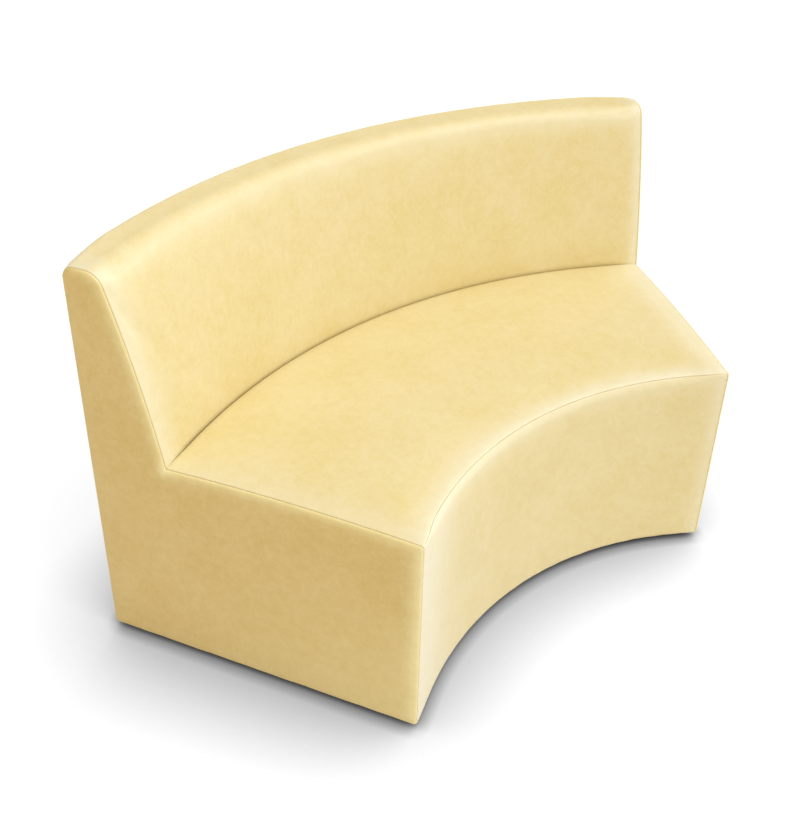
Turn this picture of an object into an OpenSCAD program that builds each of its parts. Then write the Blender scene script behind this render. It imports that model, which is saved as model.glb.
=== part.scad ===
// Curved upholstered banquette bench.
// Millimetres, +Z up, the front faces -Y, and the origin is on the floor under the middle.
// Every curved piece is an arc about one upright axis in front of the bench, and both ends
// are cut by flat upright planes. A cross-section is drawn as [radius, height] points.

/* [Overall shape] */
// Radius of the hollow front face
front_r = 728; // [680:2:860]
// Straight distance between the two front corners
front_chord = 864; // [760:2:940]
// Angle of each end face from straight ahead
end_angle = 28; // [22:1:34]
// Depth of the bench from its front face to its rear face
body_depth = 682; // [664:2:740]
// Overall height
total_h = 853; // [790:1:940]
// Height of the upholstered body above the floor
floor_gap = 10; // [8:1:20]

/* [Seat and back] */
// Height of the front edge of the seat
seat_h = 463; // [425:1:500]
// Depth of the seat up to the crease, as a share of the depth of the bench
seat_share = 0.7405; // [0.72:0.0005:0.76]
// How much higher the crease is than the front edge
seat_rise = 5; // [0:1:20]
// Height of the crown of the seat
seat_crown = 7; // [0:1:14]
// Thickness of the backrest at its top
back_top_t = 84; // [80:1:104]
// Bulge of the face of the backrest
back_crown = 6; // [0:1:12]

/* [Rounded edges] */
// Radius of the front edge of the seat
seat_edge_r = 24; // [18:1:32]
// Radius of the top edge of the backrest that the sitter leans on
back_front_r = 42; // [24:1:50]
// Radius of the rear top edge of the backrest
back_rear_r = 16; // [14:1:20]
// Radius of the lower edges where the cover turns under
hem_r = 14; // [13:1:18]
// Radius of the edges round both end faces
end_edge_r = 12; // [10:0.5:12.5]

/* [Covers and padding] */
// Thickness of the sewn covers
cover_t = 1.4; // [1:0.1:2]
// Thickness of the foam on the front face
front_pad_t = 10; // [6:1:14]
// Thickness of the foam on the rear face
rear_pad_t = 6; // [4:1:10]
// Thickness of the foam on the end faces
end_pad_t = 10; // [8:1:12]
// Thickness of the seat foam at the front edge
seat_foam_t = 72; // [60:1:90]
// Thickness of the back foam at the crease
back_foam_t = 50; // [40:1:60]
// Thickness of the back foam near the top
back_foam_top_t = 28; // [22:1:34]
// Thickness of the foam over the top rail
top_foam_t = 20; // [20:1:30]
// How far a cover is pulled down through the crease
tuck_depth = 55; // [30:1:60]
// Width of the hem that is turned under the body
hem_w = 42; // [30:1:55]
// Thickness of the dust cover underneath
dust_t = 1; // [0.8:0.1:1.5]

/* [Frame] */
// Thickness of the end panels and the ribs
board_t = 18; // [15:1:21]
// Thickness of the rails
rail_t = 18; // [15:1:21]
// Width of the rails under the seat
rail_w = 60; // [45:1:70]
// Thickness of the seat deck
deck_t = 15; // [12:1:18]
// Thickness of the bent panels at the front, the rear and behind the back foam
bent_t = 6; // [4:1:8]
// Angle between neighbouring ribs, seen from the centre of the curve
rib_angle = 16; // [13:1:19]
// Height of the middle back rail, as its underside above the floor
mid_rail_z = 610; // [560:5:660]
// Width of the middle back rail
mid_rail_w = 34; // [24:1:40]
// Radius of the lightening holes in the ribs
rib_hole_r = 55; // [30:1:65]
// Leg of the triangular corner blocks
block_leg = 48; // [30:1:60]
// Height of the corner blocks
block_h = 60; // [30:1:90]
// Side of the square cleats that carry the ends of the deck
cleat_w = 25; // [18:1:32]
// Radius of the air holes in the deck
vent_r = 12; // [8:1:16]
// Number of air holes in each row
vent_count = 8; // [4:2:10]

/* [Glides and screws] */
// Radius of a glide at the floor
glide_r = 15; // [11:0.5:18]
// Radius of a glide where it meets the body
glide_top_r = 12.5; // [10:0.5:15]
// Shank radius of the frame screws
screw_r = 2.2; // [1.8:0.1:2.6]
// Head radius of the frame screws
screw_head_r = 4.4; // [3.8:0.1:5]
// Length of the frame screws
screw_len = 45; // [35:1:55]
// Length of the screws that hold the glides
glide_screw_len = 18; // [14:1:22]
// Number of screws along each edge of the deck
deck_screw_count = 6; // [4:2:8]

/* [Hidden] */

VINYL = [0.95, 0.86, 0.62];
VINYL_END = [0.86, 0.75, 0.5];
FOAM = [0.97, 0.95, 0.85];
PLY = [0.8, 0.64, 0.42];
BEECH = [0.72, 0.52, 0.32];
BLACK = [0.1, 0.1, 0.1];
STEEL = [0.7, 0.72, 0.74];

// Clearance between pieces that only lie against each other
gap = 0.3;
// Clearance behind the rear pad, whose inner face is made of flats
flat_gap = 0.8;
// Clearance between the two covers in the crease
crease_gap = 0.6;
// Angle that each cover stops short of the middle of a rounded end edge, at the seam
seam_turn = 2;
// Thickness of a cover at an end seam
pared_t = 0.5;
// How far a cover still dips into the crease at the ends
tuck_least = 0.1;
// Clearance round a screw in its pilot hole
pilot_gap = 0.05;
ARC_FN = 240;
SMALL_FN = 48;

// Main radii and heights
crease_r = front_r + body_depth * seat_share;
rear_r = front_r + body_depth;
crease_z = seat_h + seat_rise;
top_r = rear_r - back_top_t;
skin = cover_t + gap;
frame_z = floor_gap + skin;
deck_top = seat_h - skin - seat_foam_t;
rib_top = deck_top - deck_t;
frame_top = total_h - skin - top_foam_t;
frame_front_r = front_r + skin + front_pad_t + gap;
rail_front_r = frame_front_r + bent_t + gap;
frame_rear_r = rear_r - skin - rear_pad_t - flat_gap;
rail_rear_r = frame_rear_r - bent_t - gap;
end_in = skin + end_pad_t + gap;
hem_front_r = front_r + hem_w + gap;
hem_rear_r = rear_r - hem_w - flat_gap;

// Where the end planes stand, seen from above from the centre of the curve
half_chord = front_chord / 2;
corner_y = sqrt(front_r * front_r - half_chord * half_chord);
corner_soft = sin(end_angle) + corner_y / front_r;
corner_soft_len = sqrt(pow(sin(end_angle), 2) + pow(corner_y / front_r, 2));
front_reach = corner_y + end_edge_r * (corner_soft - corner_soft_len);
arc_y = -(front_reach + rear_r) / 2;

// Points of a rounded corner b between a and c, with n steps
function unit(v) = v / norm(v);
function fillet(a, b, c, r, n) =
    let (u = unit(a - b), v = unit(c - b), half = acos(u * v) / 2,
         mid = b + unit(u + v) * r / sin(half),
         p = b + u * r / tan(half) - mid,
         q = b + v * r / tan(half) - mid,
         turn = (p.x * q.y - p.y * q.x > 0 ? 1 : -1) * (180 - 2 * half))
    [for (i = [0:n]) let (w = turn * i / n)
        mid + [p.x * cos(w) - p.y * sin(w), p.x * sin(w) + p.y * cos(w)]];
// Points between a and b on a shallow bulge to the left of the way from a to b
function bulge(a, b, h, n) =
    let (side = [-(b - a).y, (b - a).x] / norm(b - a))
    [for (i = [1:n]) let (f = i / (n + 1)) a + (b - a) * f + side * h * 4 * f * (1 - f)];

// The outside of the upholstery as a closed line, from the lower front edge over the
// seat and the back to the lower rear edge
HEM_N = 3;
EDGE_N = 6;
SEAT_N = 5;
BACK_N = 4;
TOP_N = 6;
REAR_N = 4;
v_hem = [front_r, floor_gap];
v_seat = [front_r, seat_h];
v_crease = [crease_r, crease_z];
v_top = [top_r, total_h];
v_rear = [rear_r, total_h];
v_foot = [rear_r, floor_gap];
hem_pts = fillet(v_foot, v_hem, v_seat, hem_r, HEM_N);
edge_pts = fillet(v_hem, v_seat, v_crease, seat_edge_r, EDGE_N);
top_pts = fillet(v_crease, v_top, v_rear, back_front_r, TOP_N);
rear_pts = fillet(v_top, v_rear, v_foot, back_rear_r, REAR_N);
foot_pts = fillet(v_rear, v_foot, v_hem, hem_r, HEM_N);
seat_pts = bulge(edge_pts[EDGE_N], v_crease, seat_crown, SEAT_N);
back_pts = bulge(v_crease, top_pts[0], back_crown, BACK_N);
outline = concat(hem_pts, edge_pts, seat_pts, [v_crease], back_pts, top_pts, rear_pts, foot_pts);
i_edge = HEM_N + 1;
i_front_seam = i_edge + EDGE_N / 2;
i_crease = i_edge + EDGE_N + 1 + SEAT_N;
i_top_seam = i_crease + BACK_N + TOP_N + 2 + REAR_N / 2;
i_rear_end = i_top_seam + REAR_N / 2;
i_last = len(outline) - 1;

// The outline moved inwards by k, with its corners kept sharp
function inward(a, b) = [(b - a).y, -(b - a).x] / norm(b - a);
function miter(i) =
    let (n = len(outline), m = inward(outline[(i + n - 1) % n], outline[i]),
         w = inward(outline[i], outline[(i + 1) % n]))
    (m + w) / (1 + m * w);
miters = [for (i = [0:i_last]) miter(i)];
function line_in(i, j, k) = [for (m = [i:j]) outline[m] + k * miters[m]];
function back_line(i, j, k) = [for (m = [j:-1:i]) outline[m] + k * miters[m]];

// A station is an upright plane: a point on it, its angle, and the side it is on
function end_station(side, s) =
    [half_chord - s * cos(end_angle), corner_y + s * sin(end_angle), end_angle, side];
function reach(st, r) =
    let (p = st.x * sin(st.z) + st.y * cos(st.z))
    sqrt(p * p - st.x * st.x - st.y * st.y + r * r) - p;
function plan(st, r) =
    let (u = reach(st, r))
    [st[3] * (st.x + u * sin(st.z)), st.y + u * cos(st.z)];
function place(st, p) = let (q = plan(st, p.x)) [q.x, q.y + arc_y, p.y];

// Rings of the soft pieces: a plane, the amount by which the section shrinks there, and
// 1 where the covers are pulled down through the crease or 0 where they are sewn across
RING_N = 20;
full = plan(end_station(1, end_edge_r + end_in), front_r);
full_angle = atan2(full.x, full.y);
deck_span = 2 * full_angle - 10;
function mid_station(t) =
    [front_r * sin(full_angle * abs(t)), front_r * cos(full_angle * t),
     end_angle * abs(t), t < 0 ? -1 : 1];
function round_in(s) =
    s >= end_edge_r ? 0 : end_edge_r - sqrt(pow(end_edge_r, 2) - pow(end_edge_r - s, 2));
function rings(cuts) =
    concat([for (s = cuts) [end_station(-1, s), round_in(s), 0]],
           [for (j = [0:RING_N]) [mid_station(2 * j / RING_N - 1), 0, 1]],
           [for (i = [len(cuts) - 1:-1:0]) [end_station(1, cuts[i]), round_in(cuts[i]), 0]]);
// Depths of the rings that roll a cover over to the end seam, where it is pared thin
seam_s = end_edge_r * (1 - sin(45 - seam_turn));
COVER_RINGS = rings([for (a = [45 - seam_turn, 22.5, 0]) end_edge_r * (1 - sin(a))]);
function ring_t(g) = g[1] > round_in(seam_s) - 0.001 ? pared_t : cover_t;
PAD_RINGS = rings([end_in]);

// A closed solid through sections of equal length. An end is closed by a fan of triangles
// about point hub, or for a shell by a strip between its outer and its inner line.
function fan(n, hub) = [for (i = [1:n - 2]) [hub, (hub + i) % n, (hub + i + 1) % n]];
function strip(n) =
    [for (i = [0:n / 2 - 2]) each [[i, i + 1, n - 1 - i], [i + 1, n - 2 - i, n - 1 - i]]];
module loft(sections, hub = -1) {
    n = len(sections[0]);
    m = len(sections);
    walls = [for (j = [0:m - 2], i = [0:n - 1])
        let (a = j * n + i, b = j * n + (i + 1) % n)
        each [[a, b, a + n], [b, b + n, a + n]]];
    lid = hub < 0 ? strip(n) : fan(n, hub);
    near = [for (f = lid) [f[2], f[1], f[0]]];
    far = [for (f = lid) [for (i = f) (m - 1) * n + i]];
    polyhedron(points = [for (s = sections) each s], faces = concat(walls, near, far));
}
function section(ring, pts) = [for (p = pts) place(ring[0], p)];

// A solid of revolution about the centre of the curve
module ring_of(pts) {
    translate([0, arc_y, 0])
        rotate_extrude($fn = ARC_FN)
            polygon(pts);
}
module bar(r0, r1, z0, z1) {
    ring_of([[r0, z0], [r1, z0], [r1, z1], [r0, z1]]);
}
// The space between the two end planes, each moved inwards by s
module between_ends(s) {
    far_y = rear_r * 1.1;
    near_x = half_chord - corner_y * tan(end_angle) - s / cos(end_angle);
    far_x = near_x + far_y * tan(end_angle);
    translate([0, arc_y, -1])
        linear_extrude(total_h + 2)
            polygon([[-near_x, 0], [near_x, 0], [far_x, far_y], [-far_x, far_y]]);
}
// Children drawn in the frame of an end plane: +X out through the end, +Y along it
module at_end(side) {
    mirror([side < 0 ? 1 : 0, 0, 0])
        translate([half_chord, corner_y + arc_y, 0])
            rotate(-end_angle)
                children();
}
// Children drawn at an angle round the curve, with +Y pointing away from its centre
module at_angle(a) {
    translate([0, arc_y, 0])
        rotate(-a)
            children();
}

// Front face of the panel behind the back foam, as a radius at height z
function panel_r(z) =
    let (low = crease_r + back_foam_t, high = top_r + back_foam_top_t)
    low + (high - low) * (z - crease_z) / (total_h - crease_z);
function board_r(z) = panel_r(z) + bent_t + gap;
board_pts = [[rail_front_r, frame_z], [rail_rear_r, frame_z],
    [rail_rear_r, frame_top - rail_t], [board_r(frame_top - rail_t), frame_top - rail_t],
    [board_r(rib_top), rib_top], [rail_front_r, rib_top]];
rear_rail_r = panel_r(rib_top) - gap;
mid_rail_r = rail_rear_r - mid_rail_w;
rail_end_in = end_in + board_t;
block_clear = 6;

// Flat boards: the two ends and the ribs
module end_panel(side) {
    difference() {
        intersection() {
            ring_of(board_pts);
            at_end(side)
                translate([-end_in - board_t, -board_t, 0])
                    cube([board_t, body_depth * 1.3, total_h]);
        }
        panel_screw_holes(side);
    }
}
module left_end_panel() {
    color(PLY) end_panel(-1);
}
module right_end_panel() {
    color(PLY) end_panel(1);
}
hole_z = (frame_z + rail_t + rib_top - rail_t) / 2;
hole_pitch = (rear_rail_r - rail_w - rail_front_r - rail_w) / 2;
module rib(a) {
    difference() {
        at_angle(a)
            rotate([90, 0, 90])
                translate([0, 0, -board_t / 2])
                    linear_extrude(board_t)
                        difference() {
                            polygon(board_pts);
                            for (i = [0:1])
                                translate([rail_front_r + rail_w + hole_pitch * (i + 0.5), hole_z])
                                    circle(rib_hole_r, $fn = SMALL_FN);
                        }
        rail_slots();
    }
}
// Slots that let the rails run on through the ribs
module rail_slots() {
    bar(rail_front_r - 1, rail_front_r + rail_w + gap, frame_z - 1, frame_z + rail_t);
    bar(rail_rear_r - rail_w - gap, rail_rear_r + 1, frame_z - 1, frame_z + rail_t);
    bar(rail_front_r - 1, rail_front_r + rail_w + gap, rib_top - rail_t, rib_top + 1);
    bar(rear_rail_r - rail_w - gap, rear_rail_r + gap, rib_top - rail_t, rib_top + 1);
    bar(mid_rail_r - gap, rail_rear_r + 1, mid_rail_z, mid_rail_z + rail_t);
}
module left_rib() {
    color(PLY) rib(-rib_angle);
}
module center_rib() {
    color(PLY) rib(0);
}
module right_rib() {
    color(PLY) rib(rib_angle);
}

// Curved rails, cut flat and laid flat between the end panels
module rail(r0, r1, z) {
    intersection() {
        bar(r0, r1, z, z + rail_t);
        between_ends(rail_end_in);
    }
}
module front_bottom_rail() {
    color(BEECH) difference() {
        rail(rail_front_r, rail_front_r + rail_w, frame_z);
        glide_pilots();
        panel_pilots();
    }
}
module rear_bottom_rail() {
    color(BEECH) difference() {
        rail(rail_rear_r - rail_w, rail_rear_r, frame_z);
        glide_pilots();
        panel_pilots();
    }
}
module front_seat_rail() {
    color(BEECH) difference() {
        rail(rail_front_r, rail_front_r + rail_w, rib_top - rail_t);
        deck_screw_holes();
        panel_pilots();
    }
}
module rear_seat_rail() {
    color(BEECH) difference() {
        rail(rear_rail_r - rail_w, rear_rail_r, rib_top - rail_t);
        deck_screw_holes();
        panel_pilots();
    }
}
module back_mid_rail() {
    color(BEECH) difference() {
        rail(mid_rail_r, rail_rear_r, mid_rail_z);
        panel_pilots();
    }
}
module back_top_rail() {
    color(BEECH) intersection() {
        bar(board_r(frame_top), rail_rear_r, frame_top - rail_t, frame_top);
        between_ends(end_in);
    }
}

// Bent panels and the deck. The front and rear panels stop above the rounded lower edge.
panel_low_z = floor_gap + hem_r / 2;
module front_panel() {
    color(PLY) intersection() {
        bar(frame_front_r, frame_front_r + bent_t, panel_low_z, rib_top);
        between_ends(end_in);
    }
}
module rear_panel() {
    color(PLY) intersection() {
        bar(frame_rear_r - bent_t, frame_rear_r, panel_low_z, frame_top);
        between_ends(end_in);
    }
}
module inner_back_panel() {
    color(PLY) intersection() {
        ring_of([[panel_r(rib_top), rib_top], [panel_r(rib_top) + bent_t, rib_top],
            [panel_r(frame_top) + bent_t, frame_top], [panel_r(frame_top), frame_top]]);
        between_ends(end_in);
    }
}
module seat_deck() {
    color(PLY) difference() {
        intersection() {
            bar(frame_front_r, rear_rail_r, rib_top, deck_top);
            between_ends(end_in);
        }
        for (row = [1:3], i = [0:vent_count - 1])
            at_angle(deck_span * ((i + 0.5) / vent_count - 0.5))
                translate([0, frame_front_r + (rear_rail_r - frame_front_r) * row / 4, rib_top - 1])
                    cylinder(r = vent_r, h = deck_t + 2, $fn = SMALL_FN);
        deck_screw_holes();
    }
}

// Strips that carry the ends of the deck, screwed to the end panels
cleat_station = end_station(1, rail_end_in + cleat_w);
module deck_cleats() {
    y0 = reach(end_station(1, rail_end_in), rail_front_r + rail_w) + block_clear;
    y1 = reach(cleat_station, rear_rail_r - rail_w) - block_clear;
    color(BEECH) for (side = [-1, 1])
        at_end(side)
            translate([-rail_end_in - cleat_w, y0, rib_top - cleat_w])
                cube([cleat_w, y1 - y0, cleat_w]);
}

// Triangular blocks glued into the lower corners, on the rails and against the end panels
module corner_blocks() {
    front_y = reach(cleat_station, rail_front_r) + block_clear;
    rear_y = reach(end_station(1, rail_end_in), rail_rear_r) - block_clear;
    color(BEECH) for (side = [-1, 1], y = [front_y, rear_y])
        at_end(side)
            translate([-rail_end_in, y, frame_z + rail_t])
                linear_extrude(block_h)
                    polygon([[0, 0], [-block_leg, 0], [0, y == front_y ? block_leg : -block_leg]]);
}

// A countersunk screw that points down, with its head flush at height zero
head_h = screw_head_r - screw_r;
module screw(length) {
    rotate_extrude($fn = SMALL_FN)
        polygon([[0, -length], [screw_r * 0.3, -length], [screw_r, -length + screw_r * 2],
            [screw_r, -head_h], [screw_head_r, 0], [0, 0]]);
}
module screw_hole(length) {
    rotate_extrude($fn = SMALL_FN)
        polygon([[0, -length - 0.5], [screw_r + pilot_gap, -length - 0.5],
            [screw_r + pilot_gap, -head_h], [screw_head_r + pilot_gap, 0],
            [screw_head_r + pilot_gap, 1], [0, 1]]);
}
// Frame screws go through the end panels into the ends of the rails
panel_screw_spots = [
    [rail_front_r + rail_w / 2, frame_z + rail_t / 2],
    [rail_rear_r - rail_w / 2, frame_z + rail_t / 2],
    [rail_front_r + rail_w / 2, rib_top - rail_t / 2],
    [rear_rail_r - rail_w / 2, rib_top - rail_t / 2],
    [rail_rear_r - mid_rail_w / 2, mid_rail_z + rail_t / 2]];
module at_panel_screws(side) {
    for (p = panel_screw_spots)
        at_end(side)
            translate([-end_in, reach(end_station(1, rail_end_in), p.x), p.y])
                rotate([0, 90, 0])
                    children();
}
module panel_screw_holes(side) {
    at_panel_screws(side) screw_hole(screw_len);
}
module panel_pilots() {
    for (side = [-1, 1])
        panel_screw_holes(side);
}
module panel_screws() {
    color(STEEL) for (side = [-1, 1])
        at_panel_screws(side) screw(screw_len);
}
// Deck screws go down into the two seat rails and stop short of their undersides
deck_screw_len = deck_t + rail_t - 3;
module at_deck_screws() {
    for (r = [rail_front_r + rail_w / 2, rear_rail_r - rail_w / 2], i = [0:deck_screw_count - 1])
        at_angle(deck_span * (i / (deck_screw_count - 1) - 0.5))
            translate([0, r, deck_top])
                children();
}
module deck_screw_holes() {
    at_deck_screws() screw_hole(deck_screw_len);
}
module deck_screws() {
    color(STEEL) at_deck_screws() screw(deck_screw_len);
}

// Glides stand under the bottom rails, each held by one screw from below
glide_h = frame_z - dust_t;
glide_sink = 3;
glide_clear = 4;
glide_bevel = 1.5;
glide_spread = 0.86;
glide_bore_r = screw_r + 0.2;
glide_sink_r = screw_head_r + 0.2;
glide_front_r = front_r + hem_w + glide_r + glide_clear;
glide_rear_r = rear_r - hem_w - glide_r - glide_clear;
module at_glides() {
    for (r = [glide_front_r, glide_rear_r], t = [-1, -1 / 3, 1 / 3, 1]) {
        spot = plan(mid_station(t * glide_spread), r);
        translate([spot.x, spot.y + arc_y, 0])
            children();
    }
}
module glides() {
    color(BLACK) at_glides()
        rotate_extrude($fn = SMALL_FN)
            polygon([[glide_bore_r, glide_sink + head_h], [glide_sink_r, glide_sink],
                [glide_sink_r, 0], [glide_r - glide_bevel, 0], [glide_r, glide_bevel],
                [glide_top_r, glide_h], [glide_bore_r, glide_h]]);
}
module glide_screw_shape(extra) {
    translate([0, 0, glide_sink])
        rotate_extrude($fn = SMALL_FN)
            polygon([[0, 0], [screw_head_r, 0], [screw_r + extra, head_h],
                [screw_r + extra, glide_screw_len], [0, glide_screw_len + extra]]);
}
module glide_pilots() {
    at_glides() glide_screw_shape(pilot_gap);
}
module glide_screws() {
    color(STEEL) at_glides() glide_screw_shape(0);
}

// Foam: the seat and back cushions, and thin pads on the other faces
foam_crease_r = crease_gap / 2 + skin;
function seat_foam_pts(k) =
    let (c = outline[i_crease] + k * miters[i_crease])
    concat(line_in(i_edge, i_crease - 1, k + skin),
        [[c.x - foam_crease_r, c.y - skin], [crease_r - foam_crease_r, deck_top + gap],
         [front_r + k + skin, deck_top + gap]]);
module seat_foam() {
    pts = [for (g = PAD_RINGS) section(g, seat_foam_pts(g[1]))];
    color(FOAM) loft(pts, len(pts[0]) - 1);
}
function back_foam_pts(k) =
    let (c = outline[i_crease] + k * miters[i_crease], z0 = deck_top + gap)
    concat([[crease_r + foam_crease_r, z0], [c.x + foam_crease_r, c.y - skin]],
        line_in(i_crease + 1, i_rear_end, k + skin),
        [[rear_r - k - skin, frame_top + gap],
         [panel_r(frame_top + gap) - gap, frame_top + gap],
         [panel_r(z0) - gap, z0]]);
module back_foam() {
    pts = [for (g = PAD_RINGS) section(g, back_foam_pts(g[1]))];
    color(FOAM) loft(pts, len(pts[0]) - 2);
}
pad_low_z = floor_gap + hem_r + 2;
function pad_pts(r0, r1, z1) = [[r0, pad_low_z], [r0, z1], [r1, z1], [r1, pad_low_z]];
module front_pad() {
    r1 = frame_front_r - gap;
    color(FOAM) loft([for (g = PAD_RINGS)
        section(g, pad_pts(front_r + skin + g[1], r1, deck_top))], 0);
}
module rear_pad() {
    r0 = frame_rear_r + flat_gap;
    color(FOAM) loft([for (g = PAD_RINGS)
        section(g, pad_pts(r0, rear_r - skin - g[1], frame_top))], 0);
}
// A piece that lies flat on the left end, through copies of the outline at several depths
module end_form(layers) {
    loft([for (g = layers)
        section([end_station(-1, g[0])], line_in(0, i_last, g[1]))], i_crease);
}
module end_pad() {
    r = end_edge_r - skin;
    last = asin(1 - end_pad_t / r);
    end_form([for (i = [0:3])
        let (a = 90 + (last - 90) * i / 3)
        [r * (1 - sin(a)) + skin, r * (1 - cos(a)) + skin]]);
}
module left_end_pad() {
    color(FOAM) end_pad();
}
module right_end_pad() {
    color(FOAM) mirror([1, 0, 0]) end_pad();
}

// Covers: thin shells that meet on the rounded edges, where the seams run. Each function
// gives the section of a cover at ring g.
function crease_at(g) = outline[i_crease] + g[1] * miters[i_crease];
function tuck_z(g) = crease_at(g).y - ring_t(g) - tuck_least - g[2] * tuck_depth;
function tuck_t(g) = ring_t(g) * (g[2] + 1) / 2;
function seat_cover_pts(g) =
    let (c = crease_at(g), k = g[1], t = ring_t(g), r = c.x - crease_gap / 2, z = tuck_z(g))
    concat(line_in(i_front_seam, i_crease - 1, k),
        [[r, c.y], [r, z], [r - t, z], [r - t, c.y - t]],
        back_line(i_front_seam, i_crease - 1, k + t));
module seat_cover() {
    color(VINYL) loft([for (g = COVER_RINGS) section(g, seat_cover_pts(g))]);
}
function inside_back_pts(g) =
    let (c = crease_at(g), k = g[1], t = ring_t(g), r = c.x + crease_gap / 2, z = tuck_z(g),
         r_in = r + tuck_t(g))
    concat([[r, z], [r, c.y]], line_in(i_crease + 1, i_top_seam, k),
        back_line(i_crease + 1, i_top_seam, k + t), [[r_in, c.y - t], [r_in, z]]);
module inside_back_cover() {
    color(VINYL) loft([for (g = COVER_RINGS) section(g, inside_back_pts(g))]);
}
function front_cover_pts(g) =
    let (k = g[1], t = ring_t(g), r = front_r + hem_w, z = floor_gap + k)
    concat([[r, z]], line_in(0, i_front_seam, k), back_line(0, i_front_seam, k + t),
        [[r, z + t]]);
module front_cover() {
    color(VINYL) loft([for (g = COVER_RINGS) section(g, front_cover_pts(g))]);
}
function outside_back_pts(g) =
    let (k = g[1], t = ring_t(g), r = rear_r - hem_w, z = floor_gap + k)
    concat(line_in(i_top_seam, i_last, k), [[r, z], [r, z + t]],
        back_line(i_top_seam, i_last, k + t));
module outside_back_cover() {
    color(VINYL) loft([for (g = COVER_RINGS) section(g, outside_back_pts(g))]);
}
module end_cover() {
    turns = [90, 67.5, 45 + seam_turn];
    inner_r = end_edge_r - cover_t;
    outer = [for (a = turns) end_edge_r * [1 - sin(a), 1 - cos(a)]];
    inner = [for (i = [2:-1:0])
        inner_r * [1 - sin(turns[i]), 1 - cos(turns[i])] + [cover_t, cover_t]];
    end_form(concat(outer, inner));
}
// The strip sewn to the lower edge of an end cover and turned under the body
module end_hem(side) {
    inner_r = end_edge_r - cover_t;
    turns = [45 - seam_turn, 22.5, 0];
    outer = [for (a = turns) [end_edge_r * (sin(a) - 1), end_edge_r * (1 - cos(a))]];
    inner = [for (i = [2:-1:0])
        [inner_r * (sin(turns[i]) - 1) - cover_t, inner_r * (1 - cos(turns[i])) + cover_t]];
    edges = [end_station(1, 0), end_station(1, hem_w)];
    y0 = max([for (e = edges) reach(e, hem_front_r)]);
    y1 = min([for (e = edges) reach(e, hem_rear_r)]);
    at_end(side)
        translate([0, y1, floor_gap])
            rotate([90, 0, 0])
                linear_extrude(y1 - y0)
                    polygon(concat(outer, [[-hem_w, 0], [-hem_w, cover_t]], inner));
}
module left_end_cover() {
    color(VINYL_END) end_cover();
}
module right_end_cover() {
    color(VINYL_END) mirror([1, 0, 0]) end_cover();
}
module left_end_hem() {
    color(VINYL_END) end_hem(-1);
}
module right_end_hem() {
    color(VINYL_END) end_hem(1);
}
module dust_cover() {
    color(BLACK) difference() {
        intersection() {
            bar(hem_front_r, hem_rear_r, frame_z - dust_t, frame_z);
            between_ends(hem_w + gap);
        }
        at_glides()
            cylinder(r = glide_bore_r, h = frame_z * 2, $fn = SMALL_FN);
    }
}

left_end_panel();
left_rib();
center_rib();
right_rib();
right_end_panel();
front_bottom_rail();
rear_bottom_rail();
front_seat_rail();
rear_seat_rail();
back_mid_rail();
back_top_rail();
front_panel();
rear_panel();
inner_back_panel();
seat_deck();
deck_cleats();
corner_blocks();
panel_screws();
deck_screws();
glides();
glide_screws();
seat_foam();
back_foam();
front_pad();
rear_pad();
left_end_pad();
right_end_pad();
seat_cover();
front_cover();
inside_back_cover();
outside_back_cover();
left_end_cover();
right_end_cover();
left_end_hem();
right_end_hem();
dust_cover();
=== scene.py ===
# %% [markdown]
# # A curved, upholstered banquette bench
# The bench is a foam-padded body in pale yellow vinyl. Its front, seat, back and rear all
# follow arcs about one upright axis in front of the bench, and both ends are flat. The solid
# model gives every size. This script dresses it: it builds the covers as they look when they
# are pulled tight over foam, with their seams, hems and crease, and gives each part a finish.

# %% Load the solid model
import time
from math import acos, atan, atan2, cos, degrees, exp, pi, radians, sin, sqrt, tan

import bmesh
import bpy
import numpy as np
from mathutils import Matrix, Vector
from mathutils.geometry import delaunay_2d_cdt


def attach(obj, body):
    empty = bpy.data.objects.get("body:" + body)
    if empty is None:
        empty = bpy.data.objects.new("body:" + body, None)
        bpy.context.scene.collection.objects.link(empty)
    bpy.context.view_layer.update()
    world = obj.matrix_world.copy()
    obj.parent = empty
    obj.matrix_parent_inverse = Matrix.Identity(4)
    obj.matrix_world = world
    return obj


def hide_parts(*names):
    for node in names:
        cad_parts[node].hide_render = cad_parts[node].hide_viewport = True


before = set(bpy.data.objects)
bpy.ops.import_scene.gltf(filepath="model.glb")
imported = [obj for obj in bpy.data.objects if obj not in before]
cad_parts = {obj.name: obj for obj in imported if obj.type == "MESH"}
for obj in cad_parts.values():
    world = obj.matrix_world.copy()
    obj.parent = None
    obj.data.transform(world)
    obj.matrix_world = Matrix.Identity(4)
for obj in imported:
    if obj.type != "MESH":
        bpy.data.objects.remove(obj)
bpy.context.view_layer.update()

# %% [markdown]
# ## Sizes
# These are the sizes of the solid model, in millimetres. A cross-section of the bench is drawn
# as [radius, height] points, so one drawing serves all the way round the curve. The pieces are
# worked out in millimetres and become metres only when a mesh is made.

# %% Sizes in millimetres
MM = 0.001
# Radius of the front face, half the chord between its corners, and the turn of each end.
FRONT_R, HALF_CHORD, END_ANGLE = 728.0, 432.0, radians(28)
# Depth of the body and the seat's share of it, the whole height, and the gap underneath.
BODY_DEPTH, SEAT_SHARE, TOTAL_H, FLOOR_GAP = 682.0, 0.7405, 853.0, 10.0
# The seat's front edge, its rise towards the crease, and its crown.
SEAT_H, SEAT_RISE, SEAT_CROWN = 463.0, 5.0, 7.0
# The back's thickness at the top, and its crown.
BACK_TOP_T, BACK_CROWN = 84.0, 6.0
# Radii of the edges: front of the seat, front and rear of the back, bottom, and ends.
SEAT_EDGE_R, BACK_FRONT_R, BACK_REAR_R, HEM_R, END_EDGE_R = 24.0, 42.0, 16.0, 14.0, 12.0
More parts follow.
